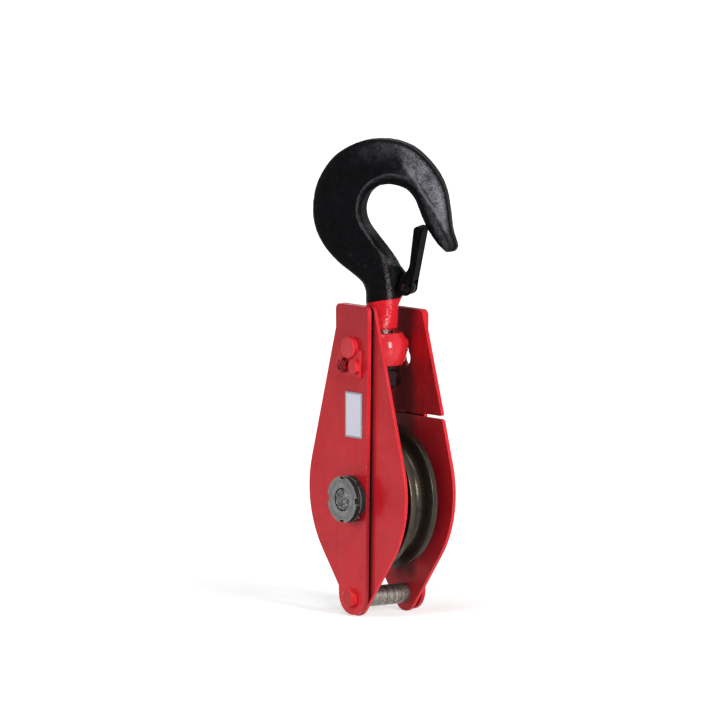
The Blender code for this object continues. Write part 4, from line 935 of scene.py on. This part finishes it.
def upright_plate(node, corners, hole, x_mid, width, body):
    """A plate in the YZ plane about the hinge's axis, in place of a CAD node."""
    plate = outline_piece(node + "_fine", [rounded(corners), hole], width)
    eased(plate, 0.0006)
    matrix = HINGE @ shift(x_mid, 0, 0) @ Matrix.Rotation(pi / 2, 4, "Z") @ STAND
    return dressed(plate, matrix, RED, node, body)


lug_face = -HINGE_OUT + FIT
lug_corners = [
    (lug_face, STRAP_SLIT, 0.0),
    (-LUG_RADIUS * 0.2, -LUG_RADIUS, LUG_RADIUS * 0.9),
    (LUG_RADIUS, -LUG_RADIUS, LUG_RADIUS * 0.98),
    (LUG_RADIUS, LUG_RADIUS, LUG_RADIUS * 0.6),
    (lug_face + 0.0030, LUG_TALL, 0.0020),
    (lug_face, LUG_TALL, 0.0),
]
lug_mid = EAR_HALF + FIT + LUG_WIDTH / 2
slot_radius = HINGE_PIN_RADIUS + FIT
pin_hole = circle(0, 0, slot_radius, 40)
upright_plate("gate_lug_left", lug_corners, pin_hole, -lug_mid, LUG_WIDTH, "gate")
upright_plate("gate_lug_right", lug_corners, pin_hole, lug_mid, LUG_WIDTH, "gate")
ear_high = GATE_LIFT + LUG_RADIUS
ear_corners = [
    (lug_face, -EAR_FOOT, 0.0),
    (lug_face + 0.0040, -EAR_FOOT, 0.0020),
    (LUG_RADIUS, -LUG_RADIUS, 0.0040),
    (LUG_RADIUS, ear_high, 0.0045),
    (lug_face + FIT, ear_high, 0.0025),
    (lug_face + FIT, 0.0, 0.0),
    (lug_face, 0.0, 0.0),
]
ear_slot = arc(0, GATE_LIFT, slot_radius, 0, pi)
ear_slot += arc(0, 0, slot_radius, pi, 2 * pi)
upright_plate("hinge_ear", ear_corners, ear_slot, 0, 2 * EAR_HALF, "frame")

head_start = EAR_HALF + FIT + LUG_WIDTH + FIT
hinge_pin = revolved_piece("hinge_pin_fine", both_ends([
    (0, HINGE_PIN_HALF, 0),
    (HINGE_HEAD_RADIUS, HINGE_PIN_HALF, 0.0012),
    (HINGE_HEAD_RADIUS, head_start, 0.0003),
    (HINGE_PIN_RADIUS, head_start, 0),
]), 64)
lying = HINGE @ Matrix.Rotation(pi / 2, 4, "Y")
dressed(smooth(hinge_pin), lying, OXIDE, "hinge_pin", "gate_pin")


# Sheave with its round-bottomed groove, web and hub
GROOVE_OPEN = 1.13        # half of the angle that the groove's round spans
rim_half = SHEAVE_RIM / 2
groove = arc(GROOVE_FLOOR + GROOVE_RADIUS, 0, GROOVE_RADIUS, pi - GROOVE_OPEN, pi)
sheave = revolved_piece("sheave_fine", both_ends([
    (BUSH_RADIUS + FIT, HUB_WIDTH / 2, 0.0008),
    (HUB_RADIUS, HUB_WIDTH / 2, 0.0010),
    (HUB_RADIUS + 0.0030, WEB_THICK / 2, 0.0040),
    (RIM_INNER - 0.0040, WEB_THICK / 2, 0.0040),
    (RIM_INNER, rim_half, 0.0010),
    (SHEAVE_RADIUS, rim_half, 0.0016),
    (SHEAVE_RADIUS, rim_half - SHEAVE_LAND + 0.0006, 0.0010),
] + [(radius, height, 0) for radius, height in groove[:-1]], [(GROOVE_FLOOR, 0, 0)]), 192)
smooth(sheave, 30)
dressed(sheave, shift(0, SHEAVE_Y, 0) @ SIDE, SHEAVE_STEEL, "sheave", "sheave")

# Axle: sawn front end inside its nuts, chamfered head at the rear
head_seat = STRAP_OUT + FIT
front_end = head_seat + 2 * (AXLE_NUT_THICK + FIT) - 0.0008
head_end = -head_seat - AXLE_HEAD_THICK
journal_half = CHEEK_IN - FIT
axle = revolved_piece("axle_fine", [
    (0, front_end - 0.0012, 0),
    (AXLE_END_RADIUS * 0.22, front_end, 0.0006),
    (AXLE_END_RADIUS - 0.0002, front_end, 0.0011),
    (AXLE_END_RADIUS - 0.0002, journal_half, 0),
    (JOURNAL_RADIUS, journal_half, 0),
    (JOURNAL_RADIUS, -journal_half, 0),
    (AXLE_END_RADIUS, -journal_half, 0),
    (AXLE_END_RADIUS, -head_seat, 0),
    (AXLE_HEAD_RADIUS, -head_seat, 0.0006),
    (AXLE_HEAD_RADIUS, head_end, 0.0018),
    (AXLE_HEAD_RADIUS * 0.20, head_end, 0.0004),
    (0, head_end + 0.0015, 0),
])
dressed(smooth(axle, 40), SIDE, OXIDE, "axle")
axle.data.materials.append(AXLE_END)
for face in axle.data.polygons:
    if face.center.y < -(STRAP_OUT + AXLE_NUT_THICK):
        face.material_index = 1


def slotted_outline(turn):
    """Outline of a round nut with four slots in its rim."""
    side = NUT_SLOT_WIDTH / 2
    half = asin(side / AXLE_NUT_RADIUS)
    low = sqrt((AXLE_NUT_RADIUS - NUT_SLOT_DEPTH) ** 2 - side ** 2)
    quarter = pi / 2
    points = []
    for i in range(4):
        middle = turn + quarter * i
        along = Vector((cos(middle), sin(middle))) * low
        across = Vector((-sin(middle), cos(middle))) * side
        points += [tuple(along - across), tuple(along + across)]
        points += arc(0, 0, AXLE_NUT_RADIUS, middle + half, middle + quarter - half)
    return points


def ring_nut(node, seat, turn):
    nut = outline_piece(node + "_fine", [slotted_outline(turn), axle_hole], AXLE_NUT_THICK)
    eased(nut, 0.0008)
    matrix = shift(0, -(seat + AXLE_NUT_THICK / 2), 0) @ SIDE
    return dressed(nut, matrix, OXIDE, node)


ring_nut("axle_nut_inner", head_seat, radians(48))
ring_nut("axle_nut_outer", head_seat + FIT + AXLE_NUT_THICK, 0.0)


# --------------------------------------------------------------- crosshead
BARREL_ROUNDS = 20        # steps along the barrel's bulge
BARREL_POWER = 2.4        # how flat the bulge is in the middle
barrel_half = (BARREL_HIGH - BARREL_LOW) / 2
bulge_points = []
for i in range(BARREL_ROUNDS + 1):
    share = 1 - 2 * i / BARREL_ROUNDS
    bulge = BARREL_RADIUS - (BARREL_RADIUS - BARREL_END_RADIUS) * abs(share) ** BARREL_POWER
    bulge_points.append((bulge, share * (barrel_half - 0.0022), 0))
barrel = revolved_piece("crosshead_fine", both_ends([
    (NECK_RADIUS + FIT, barrel_half, 0.0010),
    (BARREL_END_RADIUS - 0.0012, barrel_half, 0.0016),
], bulge_points), 128)
placed(barrel, shift(0, 0, (BARREL_LOW + BARREL_HIGH) / 2))
trunnion_end = STRAP_OUT + TRUNNION_OUT
bore_clear = NECK_RADIUS + 0.0050
trunnion_halves = {
    "front": [
        (0, trunnion_end, 0),
        (TRUNNION_RADIUS, trunnion_end, 0.0012),
        (TRUNNION_RADIUS, bore_clear, 0),
        (0, bore_clear, 0),
    ],
    "rear": [
        (0, -bore_clear, 0),
        (REAR_NECK, -bore_clear, 0),
        (REAR_NECK, -head_seat, 0),
        (REAR_HEAD, -head_seat, 0.0004),
        (REAR_HEAD, -trunnion_end, 0.0012),
        (0, -trunnion_end, 0),
    ],
}
for label, corners in trunnion_halves.items():
    trunnion = revolved_piece("trunnion_" + label, corners)
    placed(trunnion, shift(0, 0, TRUNNION_Z) @ STAND)
    combined(barrel, trunnion, "UNION")
dressed(smooth(barrel, 40), BLOCK, RED_GLOSS, "crosshead")


# Keeper plate, notched round the front trunnion
def keeper_point(x, z):
    cos_turn = cos(KEEPER_TURN)
    sin_turn = sin(KEEPER_TURN)
    return (KEEPER_X + x * cos_turn + z * sin_turn, KEEPER_Z - x * sin_turn + z * cos_turn)


half_w = KEEPER_WIDTH / 2
half_h = KEEPER_HEIGHT / 2
notch = TRUNNION_RADIUS + FIT
shoulder_z = TRUNNION_Z - 0.0004
keeper_loop = [
    keeper_point(-half_w, -half_h),
    keeper_point(half_w, -half_h),
    keeper_point(half_w, half_h),
    (notch, shoulder_z),
    *arc(0, TRUNNION_Z, notch, -0.06, -pi + 0.06),
    (-notch, shoulder_z),
    (keeper_point(-half_w, half_h)[0], shoulder_z),
]
side_plate(
    "keeper_plate", [keeper_loop] + keeper_holes, -head_seat, KEEPER_THICK, RED_KEEPER, edge=0.0006
)


# ------------------------------------------------------------------- bolts
CHAMFER_FACE = 0.94       # of half the flats, where a head's chamfer begins
CHAMFER_SLOPE = radians(30)


def hex_body(name, flats, high, hole=0.0):
    """Hexagonal head or nut from Z 0 to high, chamfered at its outer face.

    A nut, which has a hole, is chamfered at both faces.
    """
    corner = flats / 2 / cos(pi / 6)
    hexagon = arc(0, 0, corner, pi / 2, 2.5 * pi, 6)[:-1]
    loops = [rounded([(x, y, 0.0004) for x, y in hexagon])]
    if hole:
        loops.append(circle(0, 0, hole, 48))
    body = outline_piece(name, loops, high)
    placed(body, shift(0, 0, high / 2))
    face = flats / 2 * CHAMFER_FACE
    wide = corner + 0.0010
    drop = (corner - face) * tan(CHAMFER_SLOPE) + 0.0006
    lens = [(0, high, 0), (face, high, 0), (wide, high - drop, 0)]
    if hole:
        lens += [(wide, drop, 0), (face, 0, 0), (0, 0, 0)]
    else:
        lens += [(wide, -0.0010, 0), (0, -0.0010, 0)]
    return combined(body, revolved_piece(name + "_lens", lens), "INTERSECT")


def bolt(node, flats, high, radius, length, mat, x, z, seat):
    """Hex bolt along Y whose head's seat is at Y = -seat."""
    head = hex_body(node + "_fine", flats, high)
    stem = revolved_piece(node + "_stem", [
        (0, 0.0008, 0), (radius, 0.0008, 0), (radius, -length, 0.0008), (0, -length, 0)
    ], 48)
    combined(head, stem, "UNION")
    eased(head, 0.0003, 2, 28)
    return dressed(head, BLOCK @ shift(x, -seat, z) @ STAND, mat, node)


keeper_seat = head_seat + FIT + KEEPER_THICK
keeper_reach = KEEPER_THICK + 2 * FIT + STRAP_THICK + STRAP_GAP * 0.6
for label, x, mat in zip(("left", "right"), KEEPER_BOLT_X, (BOLT_DIRTY, BOLT_BRIGHT)):
    bolt(
        "keeper_bolt_" + label, KEEPER_HEAD_AF, KEEPER_HEAD_HIGH, KEEPER_BOLT_RADIUS,
        keeper_reach, mat, x, KEEPER_BOLT_Z, keeper_seat,
    )
bolt_length = 2 * head_seat + BOLT_NUT_HIGH + FIT + 0.0025
bolt(
    "bottom_bolt", BOLT_AF, BOLT_HEAD_HIGH, BOLT_RADIUS, bolt_length, BOLT_RED,
    0, BOTTOM_BOLT_Z, head_seat,
)
bottom_nut = hex_body("bottom_nut_fine", BOLT_AF, BOLT_NUT_HIGH, BOLT_RADIUS + FIT)
eased(bottom_nut, 0.0003, 2, 28)
nut_place = shift(0, head_seat + BOLT_NUT_HIGH, BOTTOM_BOLT_Z)
dressed(bottom_nut, BLOCK @ nut_place @ STAND, BOLT_RED, "bottom_nut")

tube = revolved_piece("spacer_tube_fine", both_ends([
    (BOLT_RADIUS + FIT, journal_half, 0), (TUBE_RADIUS, journal_half, 0.0007)
]))
tube_place = BLOCK @ shift(0, 0, BOTTOM_BOLT_Z) @ STAND
dressed(smooth(tube), tube_place, TUBE_STEEL, "spacer_tube")

label = outline_piece("name_plate_fine", [rounded([
    (LABEL_X + x * LABEL_WIDTH / 2, LABEL_Z + z * LABEL_HEIGHT / 2, 0.0010)
    for x, z in ((-1, -1), (1, -1), (1, 1), (-1, 1))
])], LABEL_THICK)
eased(label, 0.0002, 2)
label_place = shift(0, -(head_seat + LABEL_THICK / 2), 0) @ SIDE
dressed(label, label_place, LABEL, "name_plate")


# -------------------------------------------------------------------- hook
# Each row: outer point, inner point, thickness, outer radius, width of the
# inner rounding, share of the thickness left outside, ridge angle; lengths
# in hook units above the shank's lower end.
HOOK_SECTIONS = [
    ((-14.9, 0.0), (14.9, 0.0), 29.8, 14.9, 14.9, 1.0, 0.0),
    ((-15.2, 13.2), (15.2, 13.2), 30.4, 15.2, 15.2, 1.0, 0.0),
    ((-15.7, 26.2), (15.7, 25.7), 31.2, 15.6, 15.6, 1.0, 0.0),
    ((-16.0, 36.2), (16.0, 34.7), 31.2, 14.5, 14.5, 1.0, 0.0),
    ((-20.0, 45.2), (18.0, 45.7), 30.0, 12.0, 10.0, 0.97, 12.0),
    ((-31.0, 54.2), (15.5, 59.6), 29.8, 10.0, 6.5, 0.93, 25.0),
    ((-43.0, 63.7), (7.0, 72.4), 29.6, 8.5, 4.5, 0.90, 30.0),
    ((-55.5, 77.7), (-5.5, 87.8), 29.6, 7.5, 4.0, 0.88, 30.0),
    ((-64.0, 94.2), (-15.0, 100.7), 29.8, 7.0, 4.0, 0.87, 30.0),
    ((-67.0, 114.2), (-18.2, 114.2), 30.0, 7.0, 4.5, 0.86, 30.0),
    ((-62.5, 139.2), (-13.7, 128.2), 30.0, 7.0, 5.5, 0.86, 30.0),
    ((-47.0, 163.7), (-4.5, 136.2), 30.0, 7.0, 7.5, 0.85, 30.0),
    ((-22.5, 178.7), (4.0, 138.4), 30.0, 7.0, 9.5, 0.84, 30.0),
    ((4.5, 182.2), (10.0, 138.6), 30.0, 7.0, 11.0, 0.83, 30.0),
    ((29.5, 175.7), (18.0, 136.8), 29.2, 7.2, 12.5, 0.82, 30.0),
    ((50.0, 158.2), (26.2, 132.4), 28.0, 7.4, 14.5, 0.82, 30.0),
    ((62.5, 137.2), (33.0, 123.7), 26.2, 7.4, 16.0, 0.83, 30.0),
    ((67.2, 114.7), (38.5, 110.2), 24.0, 7.2, 16.6, 0.84, 30.0),
    ((69.5, 97.2), (45.0, 96.2), 22.0, 6.8, 15.6, 0.86, 28.0),
    ((73.5, 84.7), (54.0, 83.2), 19.0, 6.0, 12.6, 0.90, 25.0),
    ((74.5, 79.7), (60.0, 77.2), 15.5, 5.0, 8.8, 0.95, 20.0),
    ((72.2, 75.7), (63.5, 74.4), 10.0, 3.0, 4.0, 1.0, 15.0),
]
HOOK_STEPS = 6            # rings from one section to the next
CORNER_STEPS = 9          # points on a rounded corner of a ring
CORNER_MOST = 0.999       # of the room that a rounding may take up


def blend(values, i, t):
    """Smooth curve through a list of vectors."""
    p0 = values[max(i - 1, 0)]
    p1 = values[i]
    p2 = values[i + 1]
    p3 = values[min(i + 2, len(values) - 1)]
    return 0.5 * (
        2 * p1 + (p2 - p0) * t + (2 * p0 - 5 * p1 + 4 * p2 - p3) * t * t
        + (3 * p1 - p0 - 3 * p2 + p3) * t * t * t
    )


def hook_section(outer, inner, numbers):
    """Ring of one section, from its outer point round by the inner side."""
    thick, r_out, r_in, taper, ridge = numbers
    centre = (outer + inner) / 2
    across = (outer - inner) / 2
    half = across.length
    unit = across.normalized()
    side = thick / 2
    r_out = min(r_out, side * CORNER_MOST, half * CORNER_MOST)
    drop = min(r_in, side * CORNER_MOST)
    low = radians(max(ridge, 0.0))
    quarter = pi / 2
    corner = []
    for k in range(CORNER_STEPS + 1):
        angle = quarter * k / CORNER_STEPS
        corner.append((
            half - r_out + r_out * cos(angle), side - r_out + r_out * sin(angle)
        ))
    for k in range(CORNER_STEPS + 1):
        angle = low + (quarter - low) * k / CORNER_STEPS
        down = drop * (cos(low) - cos(angle)) / cos(low)
        inward = r_in * (1 - (sin(angle) - sin(low)) / (1 - sin(low)))
        corner.append((inward - half, side - down))
    ring = []
    for a, b in corner + [(a, -b) for a, b in reversed(corner)]:
        spot = centre + unit * a
        thinner = 1 - (1 - taper) * (a + half) / (2 * half)
        ring.append((spot.x, b * thinner, spot.y))
    return ring


def hook_spot(x, height):
    """Point in the hook's plane from hook units above the shank's end."""
    return (x * HOOK_UNIT, SHANK_LOW + height * HOOK_UNIT)


def hook_loft():
    outers = [Vector(hook_spot(*row[0])) for row in HOOK_SECTIONS]
    inners = [Vector(hook_spot(*row[1])) for row in HOOK_SECTIONS]
    lengths = [Vector(row[2:5]) * HOOK_UNIT for row in HOOK_SECTIONS]
    shapes = [Vector(row[5:]) for row in HOOK_SECTIONS]
    made = []
    work = bmesh.new()
    for i in range(len(HOOK_SECTIONS) - 1):
        last = i == len(HOOK_SECTIONS) - 2
        for k in range(HOOK_STEPS + last):
            t = k / HOOK_STEPS
            numbers = (*blend(lengths, i, t), *blend(shapes, i, t))
            ring = hook_section(blend(outers, i, t), blend(inners, i, t), numbers)
            made.append([work.verts.new(point) for point in ring])
    size = len(made[0])
    for low, high in zip(made, made[1:]):
        for k in range(size):
            n = (k + 1) % size
            work.faces.new((low[k], low[n], high[n], high[k]))
    work.faces.new(list(reversed(made[0])))
    work.faces.new(made[-1])
    bmesh.ops.remove_doubles(work, verts=work.verts, dist=WELD)
    return from_bmesh(work, "hook_fine")


hook = hook_loft()
latch_lug = outline_piece("latch_lug", [rounded([
    (*hook_spot(8.0, 16.0), 0.0),
    (*hook_spot(15.0, 21.6), 0.0030),
    (*hook_spot(20.8, 32.6), 0.0040),
    (LATCH_X + LATCH_LUG_RADIUS, LATCH_Z - LATCH_LUG_RADIUS, LATCH_LUG_RADIUS),
    (LATCH_X + LATCH_LUG_RADIUS, LATCH_Z + LATCH_LUG_RADIUS * 0.35, LATCH_LUG_RADIUS),
    (*hook_spot(12.4, 66.6), 0.0),
    (*hook_spot(4.0, 62.0), 0.0),
])], LATCH_LUG_THICK)
placed(latch_lug, STAND)
combined(hook, latch_lug, "UNION")
skin = hook.modifiers.new("skin", "REMESH")
skin.mode = "VOXEL"
skin.voxel_size = HOOK_VOXEL
skin.use_smooth_shade = True
calm = hook.modifiers.new("calm", "SMOOTH")
calm.factor = 0.6
calm.iterations = 2
clouds = bpy.data.textures.new("forging_grain", "CLOUDS")
clouds.noise_scale = HOOK_GRAIN_SIZE
clouds.noise_depth = 3
grain = hook.modifiers.new("grain", "DISPLACE")
grain.texture = clouds
grain.texture_coords = "LOCAL"
grain.strength = HOOK_GRAIN
grain.mid_level = 0.5
applied(hook)
neck_top = SHANK_LOW + 0.0020
neck = revolved_piece("hook_neck", [
    (0, neck_top, 0), (NECK_RADIUS, neck_top, 0), (NECK_RADIUS, NECK_LOW, 0.0012), (0, NECK_LOW, 0)
], 64)
dressed(smooth(neck), HOOK, FORGING, body="hook")
hook.data.shade_smooth()
dressed(hook, HOOK, FORGING, "hook", "hook")


# ------------------------------------------------------------------- latch
def lean(along, out):
    """Point at a distance along the latch and out from its centre line."""
    return (
        along * sin(LATCH_LEAN) + out * cos(LATCH_LEAN),
        along * cos(LATCH_LEAN) - out * sin(LATCH_LEAN),
    )


LATCH = HOOK @ shift(LATCH_X, 0, LATCH_Z)
latch = outline_piece("latch_fine", [rounded([
    (*lean(-LATCH_EYE, LATCH_EYE), LATCH_EYE * 0.90),
    (*lean(LATCH_WEB_LOW, LATCH_OUT_LOW), 0.0100),
    (*lean(LATCH_LENGTH, LATCH_OUT_TOP), 0.0020),
    (*lean(LATCH_LENGTH, -LATCH_IN_TOP), 0.0040),
    (*lean(LATCH_WAIST_AT, -LATCH_IN_WAIST), 0.0150),
    (*lean(LATCH_EYE, -LATCH_EYE * 0.86), 0.0040),
    (*lean(-LATCH_EYE, -LATCH_EYE), LATCH_EYE * 0.90),
])], LATCH_WIDTH)
far = 0.0300
hollow = outline_piece("latch_hollow", [[
    lean(-far, far),
    lean(LATCH_WEB_LOW, far),
    lean(LATCH_WEB_LOW, LATCH_OUT_LOW - LATCH_SHEET),
    lean(LATCH_LENGTH - LATCH_SHEET, LATCH_OUT_TOP - LATCH_SHEET),
    lean(LATCH_LENGTH - LATCH_SHEET, -far),
    lean(-far, -far),
]], LATCH_WIDTH - 2 * LATCH_SHEET)
combined(latch, hollow, "DIFFERENCE")
eased(latch, 0.0007, 3, 32)
dressed(latch, LATCH @ STAND, SHEET, "latch", "latch")

rivet_half = LATCH_WIDTH / 2 + 0.0022
rivet_head = LATCH_PIN_RADIUS + 0.0014
rivet = revolved_piece("latch_rivet_fine", both_ends([
    (0, rivet_half - 0.0016, 0),
    (0.0015, rivet_half - 0.0016, 0.0003),
    (0.0019, rivet_half, 0.0003),
    (rivet_head, rivet_half, 0.0007),
    (rivet_head, LATCH_WIDTH / 2 + FIT, 0.0002),
    (LATCH_PIN_RADIUS, LATCH_WIDTH / 2 + FIT, 0),
]), 64)
dressed(smooth(rivet, 40), LATCH @ STAND, RIVET, "latch_pin", "hook")

# Torsion spring: coils beside the lug, one leg on the hook, one in the latch
hollow_width = LATCH_WIDTH - 2 * LATCH_SHEET
COIL_STEPS = 90
coil_near = -(LATCH_LUG_THICK / 2 + FIT + SPRING_WIRE)
coil_far = -(hollow_width / 2 - FIT - SPRING_WIRE)
spring_path = [(-SPRING_RADIUS - 0.0024, coil_near, 0.0200), (-SPRING_RADIUS, coil_near, 0.0110)]
for i in range(COIL_STEPS + 1):
    share = i / COIL_STEPS
    angle = pi + radians(180 + 360 * SPRING_TURNS) * share
    y = coil_near + (coil_far - coil_near) * share
    spring_path.append((SPRING_RADIUS * cos(angle), y, SPRING_RADIUS * sin(angle)))
web_inside = LATCH_OUT_TOP - LATCH_SHEET - FIT - SPRING_WIRE
for along in (0.0130, 0.0260):
    x, z = lean(along, web_inside)
    spring_path.append((x, coil_far, z))
wire = bpy.data.curves.new("latch_spring_wire", "CURVE")
wire.dimensions = "3D"
wire.bevel_depth = SPRING_WIRE
wire.bevel_resolution = 3
wire.use_fill_caps = True
spline = wire.splines.new("POLY")
spline.points.add(len(spring_path) - 1)
for point, (x, y, z) in zip(spline.points, spring_path):
    point.co = (x, y, z, 1)
wire_source = add_object("latch_spring_wire", wire)
spring = add_object("latch_spring_fine", evaluated_mesh(wire_source))
bpy.data.objects.remove(wire_source, do_unlink=True)
spring.data.shade_smooth()
placed(spring, LATCH)
spring.data.materials.clear()
spring.data.materials.append(SHEET)
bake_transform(spring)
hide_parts("latch_spring")

# Hook nut under the crosshead
hook_nut = hex_body("hook_nut_fine", HOOK_NUT_AF, HOOK_NUT_HIGH, NECK_RADIUS + FIT)
eased(hook_nut, 0.0004, 2, 28)
nut_place = HOOK @ shift(0, 0, HOOK_NUT_TOP - HOOK_NUT_HIGH)
dressed(hook_nut, nut_place, GREASE_AND_SHADE, "hook_nut", "hook")

# CAD nodes whose shape is right get a finish only
KEPT_NODES = {
    "sheave_bush": BRONZE,
    "side_washer_front": WASHER_STEEL,
    "side_washer_rear": WASHER_STEEL,
    "thrust_washer": GREASE_AND_SHADE,
    "hook_nut_pin": GREASE_AND_SHADE,
    "front_trunnion_spacer": OXIDE,
    "front_axle_spacer": OXIDE,
    "front_bolt_spacer": OXIDE,
    "rear_axle_spacer": OXIDE,
    "rear_bolt_spacer": OXIDE,
    "gate_spacer_upper": RED,
    "gate_spacer_lower": RED,
}
for node, mat in KEPT_NODES.items():
    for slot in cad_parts[node].material_slots:
        slot.material = mat

# ------------------------------------------------------- floor, world, light
PIXEL = 0.00096           # metres a pixel of the photograph at the object
IMAGE_PIXELS = 720
LENS_PIXELS = 10000       # focal length in pixels of the photograph
SENSOR = 36.0
VIEW_AZIMUTH = radians(52.0)
VIEW_ELEVATION = radians(6.5)
AXLE_PIXEL = (352.0, 498.6)
FLOOR_GREY = 0.80
FLOOR_REACH = (0.20, 0.75)       # metres from the part where the floor whitens
FLOOR_LIFT = (0.52, 1.0)         # its own light nearer and further than that
WORLD_LIGHT = 0.24               # of the world on matt surfaces


def floor_finish():
    """Pale matt floor that reaches white for the camera outside shadows."""
    mat = bpy.data.materials.new("floor")
    mat.use_nodes = True
    mat.node_tree.nodes.clear()
    f = Nodes(mat.node_tree)
    matt = f.add("ShaderNodeBsdfDiffuse")
    f.give(FLOOR_GREY, matt.inputs["Color"])
    reach = f.add("ShaderNodeVectorMath", operation="LENGTH")
    f.give(f.add("ShaderNodeTexCoord").outputs["Object"], reach.inputs[0])
    away = f.spread(reach.outputs["Value"], *FLOOR_REACH, *FLOOR_LIFT)
    rays = f.add("ShaderNodeLightPath").outputs
    seen = f.most(rays["Is Camera Ray"], rays["Is Glossy Ray"])
    lift = f.add("ShaderNodeEmission")
    f.give(f.times(seen, away), lift.inputs["Strength"])
    both = f.add("ShaderNodeAddShader")
    f.give(matt.outputs[0], both.inputs[0])
    f.give(lift.outputs[0], both.inputs[1])
    f.give(both.outputs[0], f.add("ShaderNodeOutputMaterial").inputs["Surface"])
    return mat


floor_mesh = bpy.data.meshes.new("floor")
work = bmesh.new()
bmesh.ops.create_circle(work, cap_ends=True, radius=14.0, segments=96)
work.to_mesh(floor_mesh)
work.free()
floor = add_object("floor", floor_mesh)
floor.location = (0, 0, cad_box[0][2])
floor.data.materials.append(floor_finish())

world = bpy.data.worlds.new("studio")
bpy.context.scene.world = world
world.use_nodes = True
world.node_tree.nodes.clear()
sky = Nodes(world.node_tree)
rays = sky.add("ShaderNodeLightPath").outputs
seen = sky.most(rays["Is Camera Ray"], rays["Is Glossy Ray"], rays["Is Transmission Ray"])
background = sky.add("ShaderNodeBackground")
sky.give(1.0, background.inputs["Color"])
sky.give(sky.spread(seen, 0.0, 1.0, WORLD_LIGHT, 1.0), background.inputs["Strength"])
sky.give(background.outputs[0], sky.add("ShaderNodeOutputWorld").inputs["Surface"])

LAMP_DISTANCE = 2.0
LAMP_AIM = Vector((0, 0, -0.19))


def seen_from(azimuth, elevation):
    """Direction from the part to a place; azimuth 0 looks along +Y."""
    flat = cos(elevation)
    return Vector((sin(azimuth) * flat, -cos(azimuth) * flat, sin(elevation)))


def turned_to(data, toward, position):
    """A lamp or camera at a position, looking against the direction toward."""
    obj = add_object(data.name, data)
    obj.location = position
    obj.rotation_euler = toward.to_track_quat("Z", "Y").to_euler()
    return obj


def lamp(name, azimuth, elevation, width, height, level_at_object):
    """Softbox whose light on a matt white face turned to it has this level."""
    data = bpy.data.lights.new(name, "AREA")
    data.shape = "RECTANGLE"
    data.size = width
    data.size_y = height
    data.energy = level_at_object * (pi * LAMP_DISTANCE) ** 2
    toward = seen_from(radians(azimuth), radians(elevation))
    turned_to(data, toward, LAMP_AIM + toward * LAMP_DISTANCE)


lamp("front_softbox", -14, 16, 0.9, 1.0, 0.37)
lamp("right_softbox", 90, 12, 0.34, 0.7, 0.92)
lamp("top_softbox", 48, 58, 0.6, 0.6, 0.20)

# Camera at the photograph's angle, placed so that the axle's front end
# falls on its pixel
right = Vector((cos(VIEW_AZIMUTH), sin(VIEW_AZIMUTH), 0))
back = seen_from(VIEW_AZIMUTH, VIEW_ELEVATION)
target = Vector((0, -STRAP_OUT, AXLE_Z))
target += right * ((IMAGE_PIXELS / 2 - AXLE_PIXEL[0]) * PIXEL)
target += back.cross(right) * ((AXLE_PIXEL[1] - IMAGE_PIXELS / 2) * PIXEL)
camera_data = bpy.data.cameras.new("camera")
camera_data.sensor_width = SENSOR
camera_data.lens = SENSOR * LENS_PIXELS / IMAGE_PIXELS
camera = turned_to(camera_data, back, target + back * (PIXEL * LENS_PIXELS))
bpy.context.scene.camera = camera
bpy.context.scene.view_settings.view_transform = "Standard"
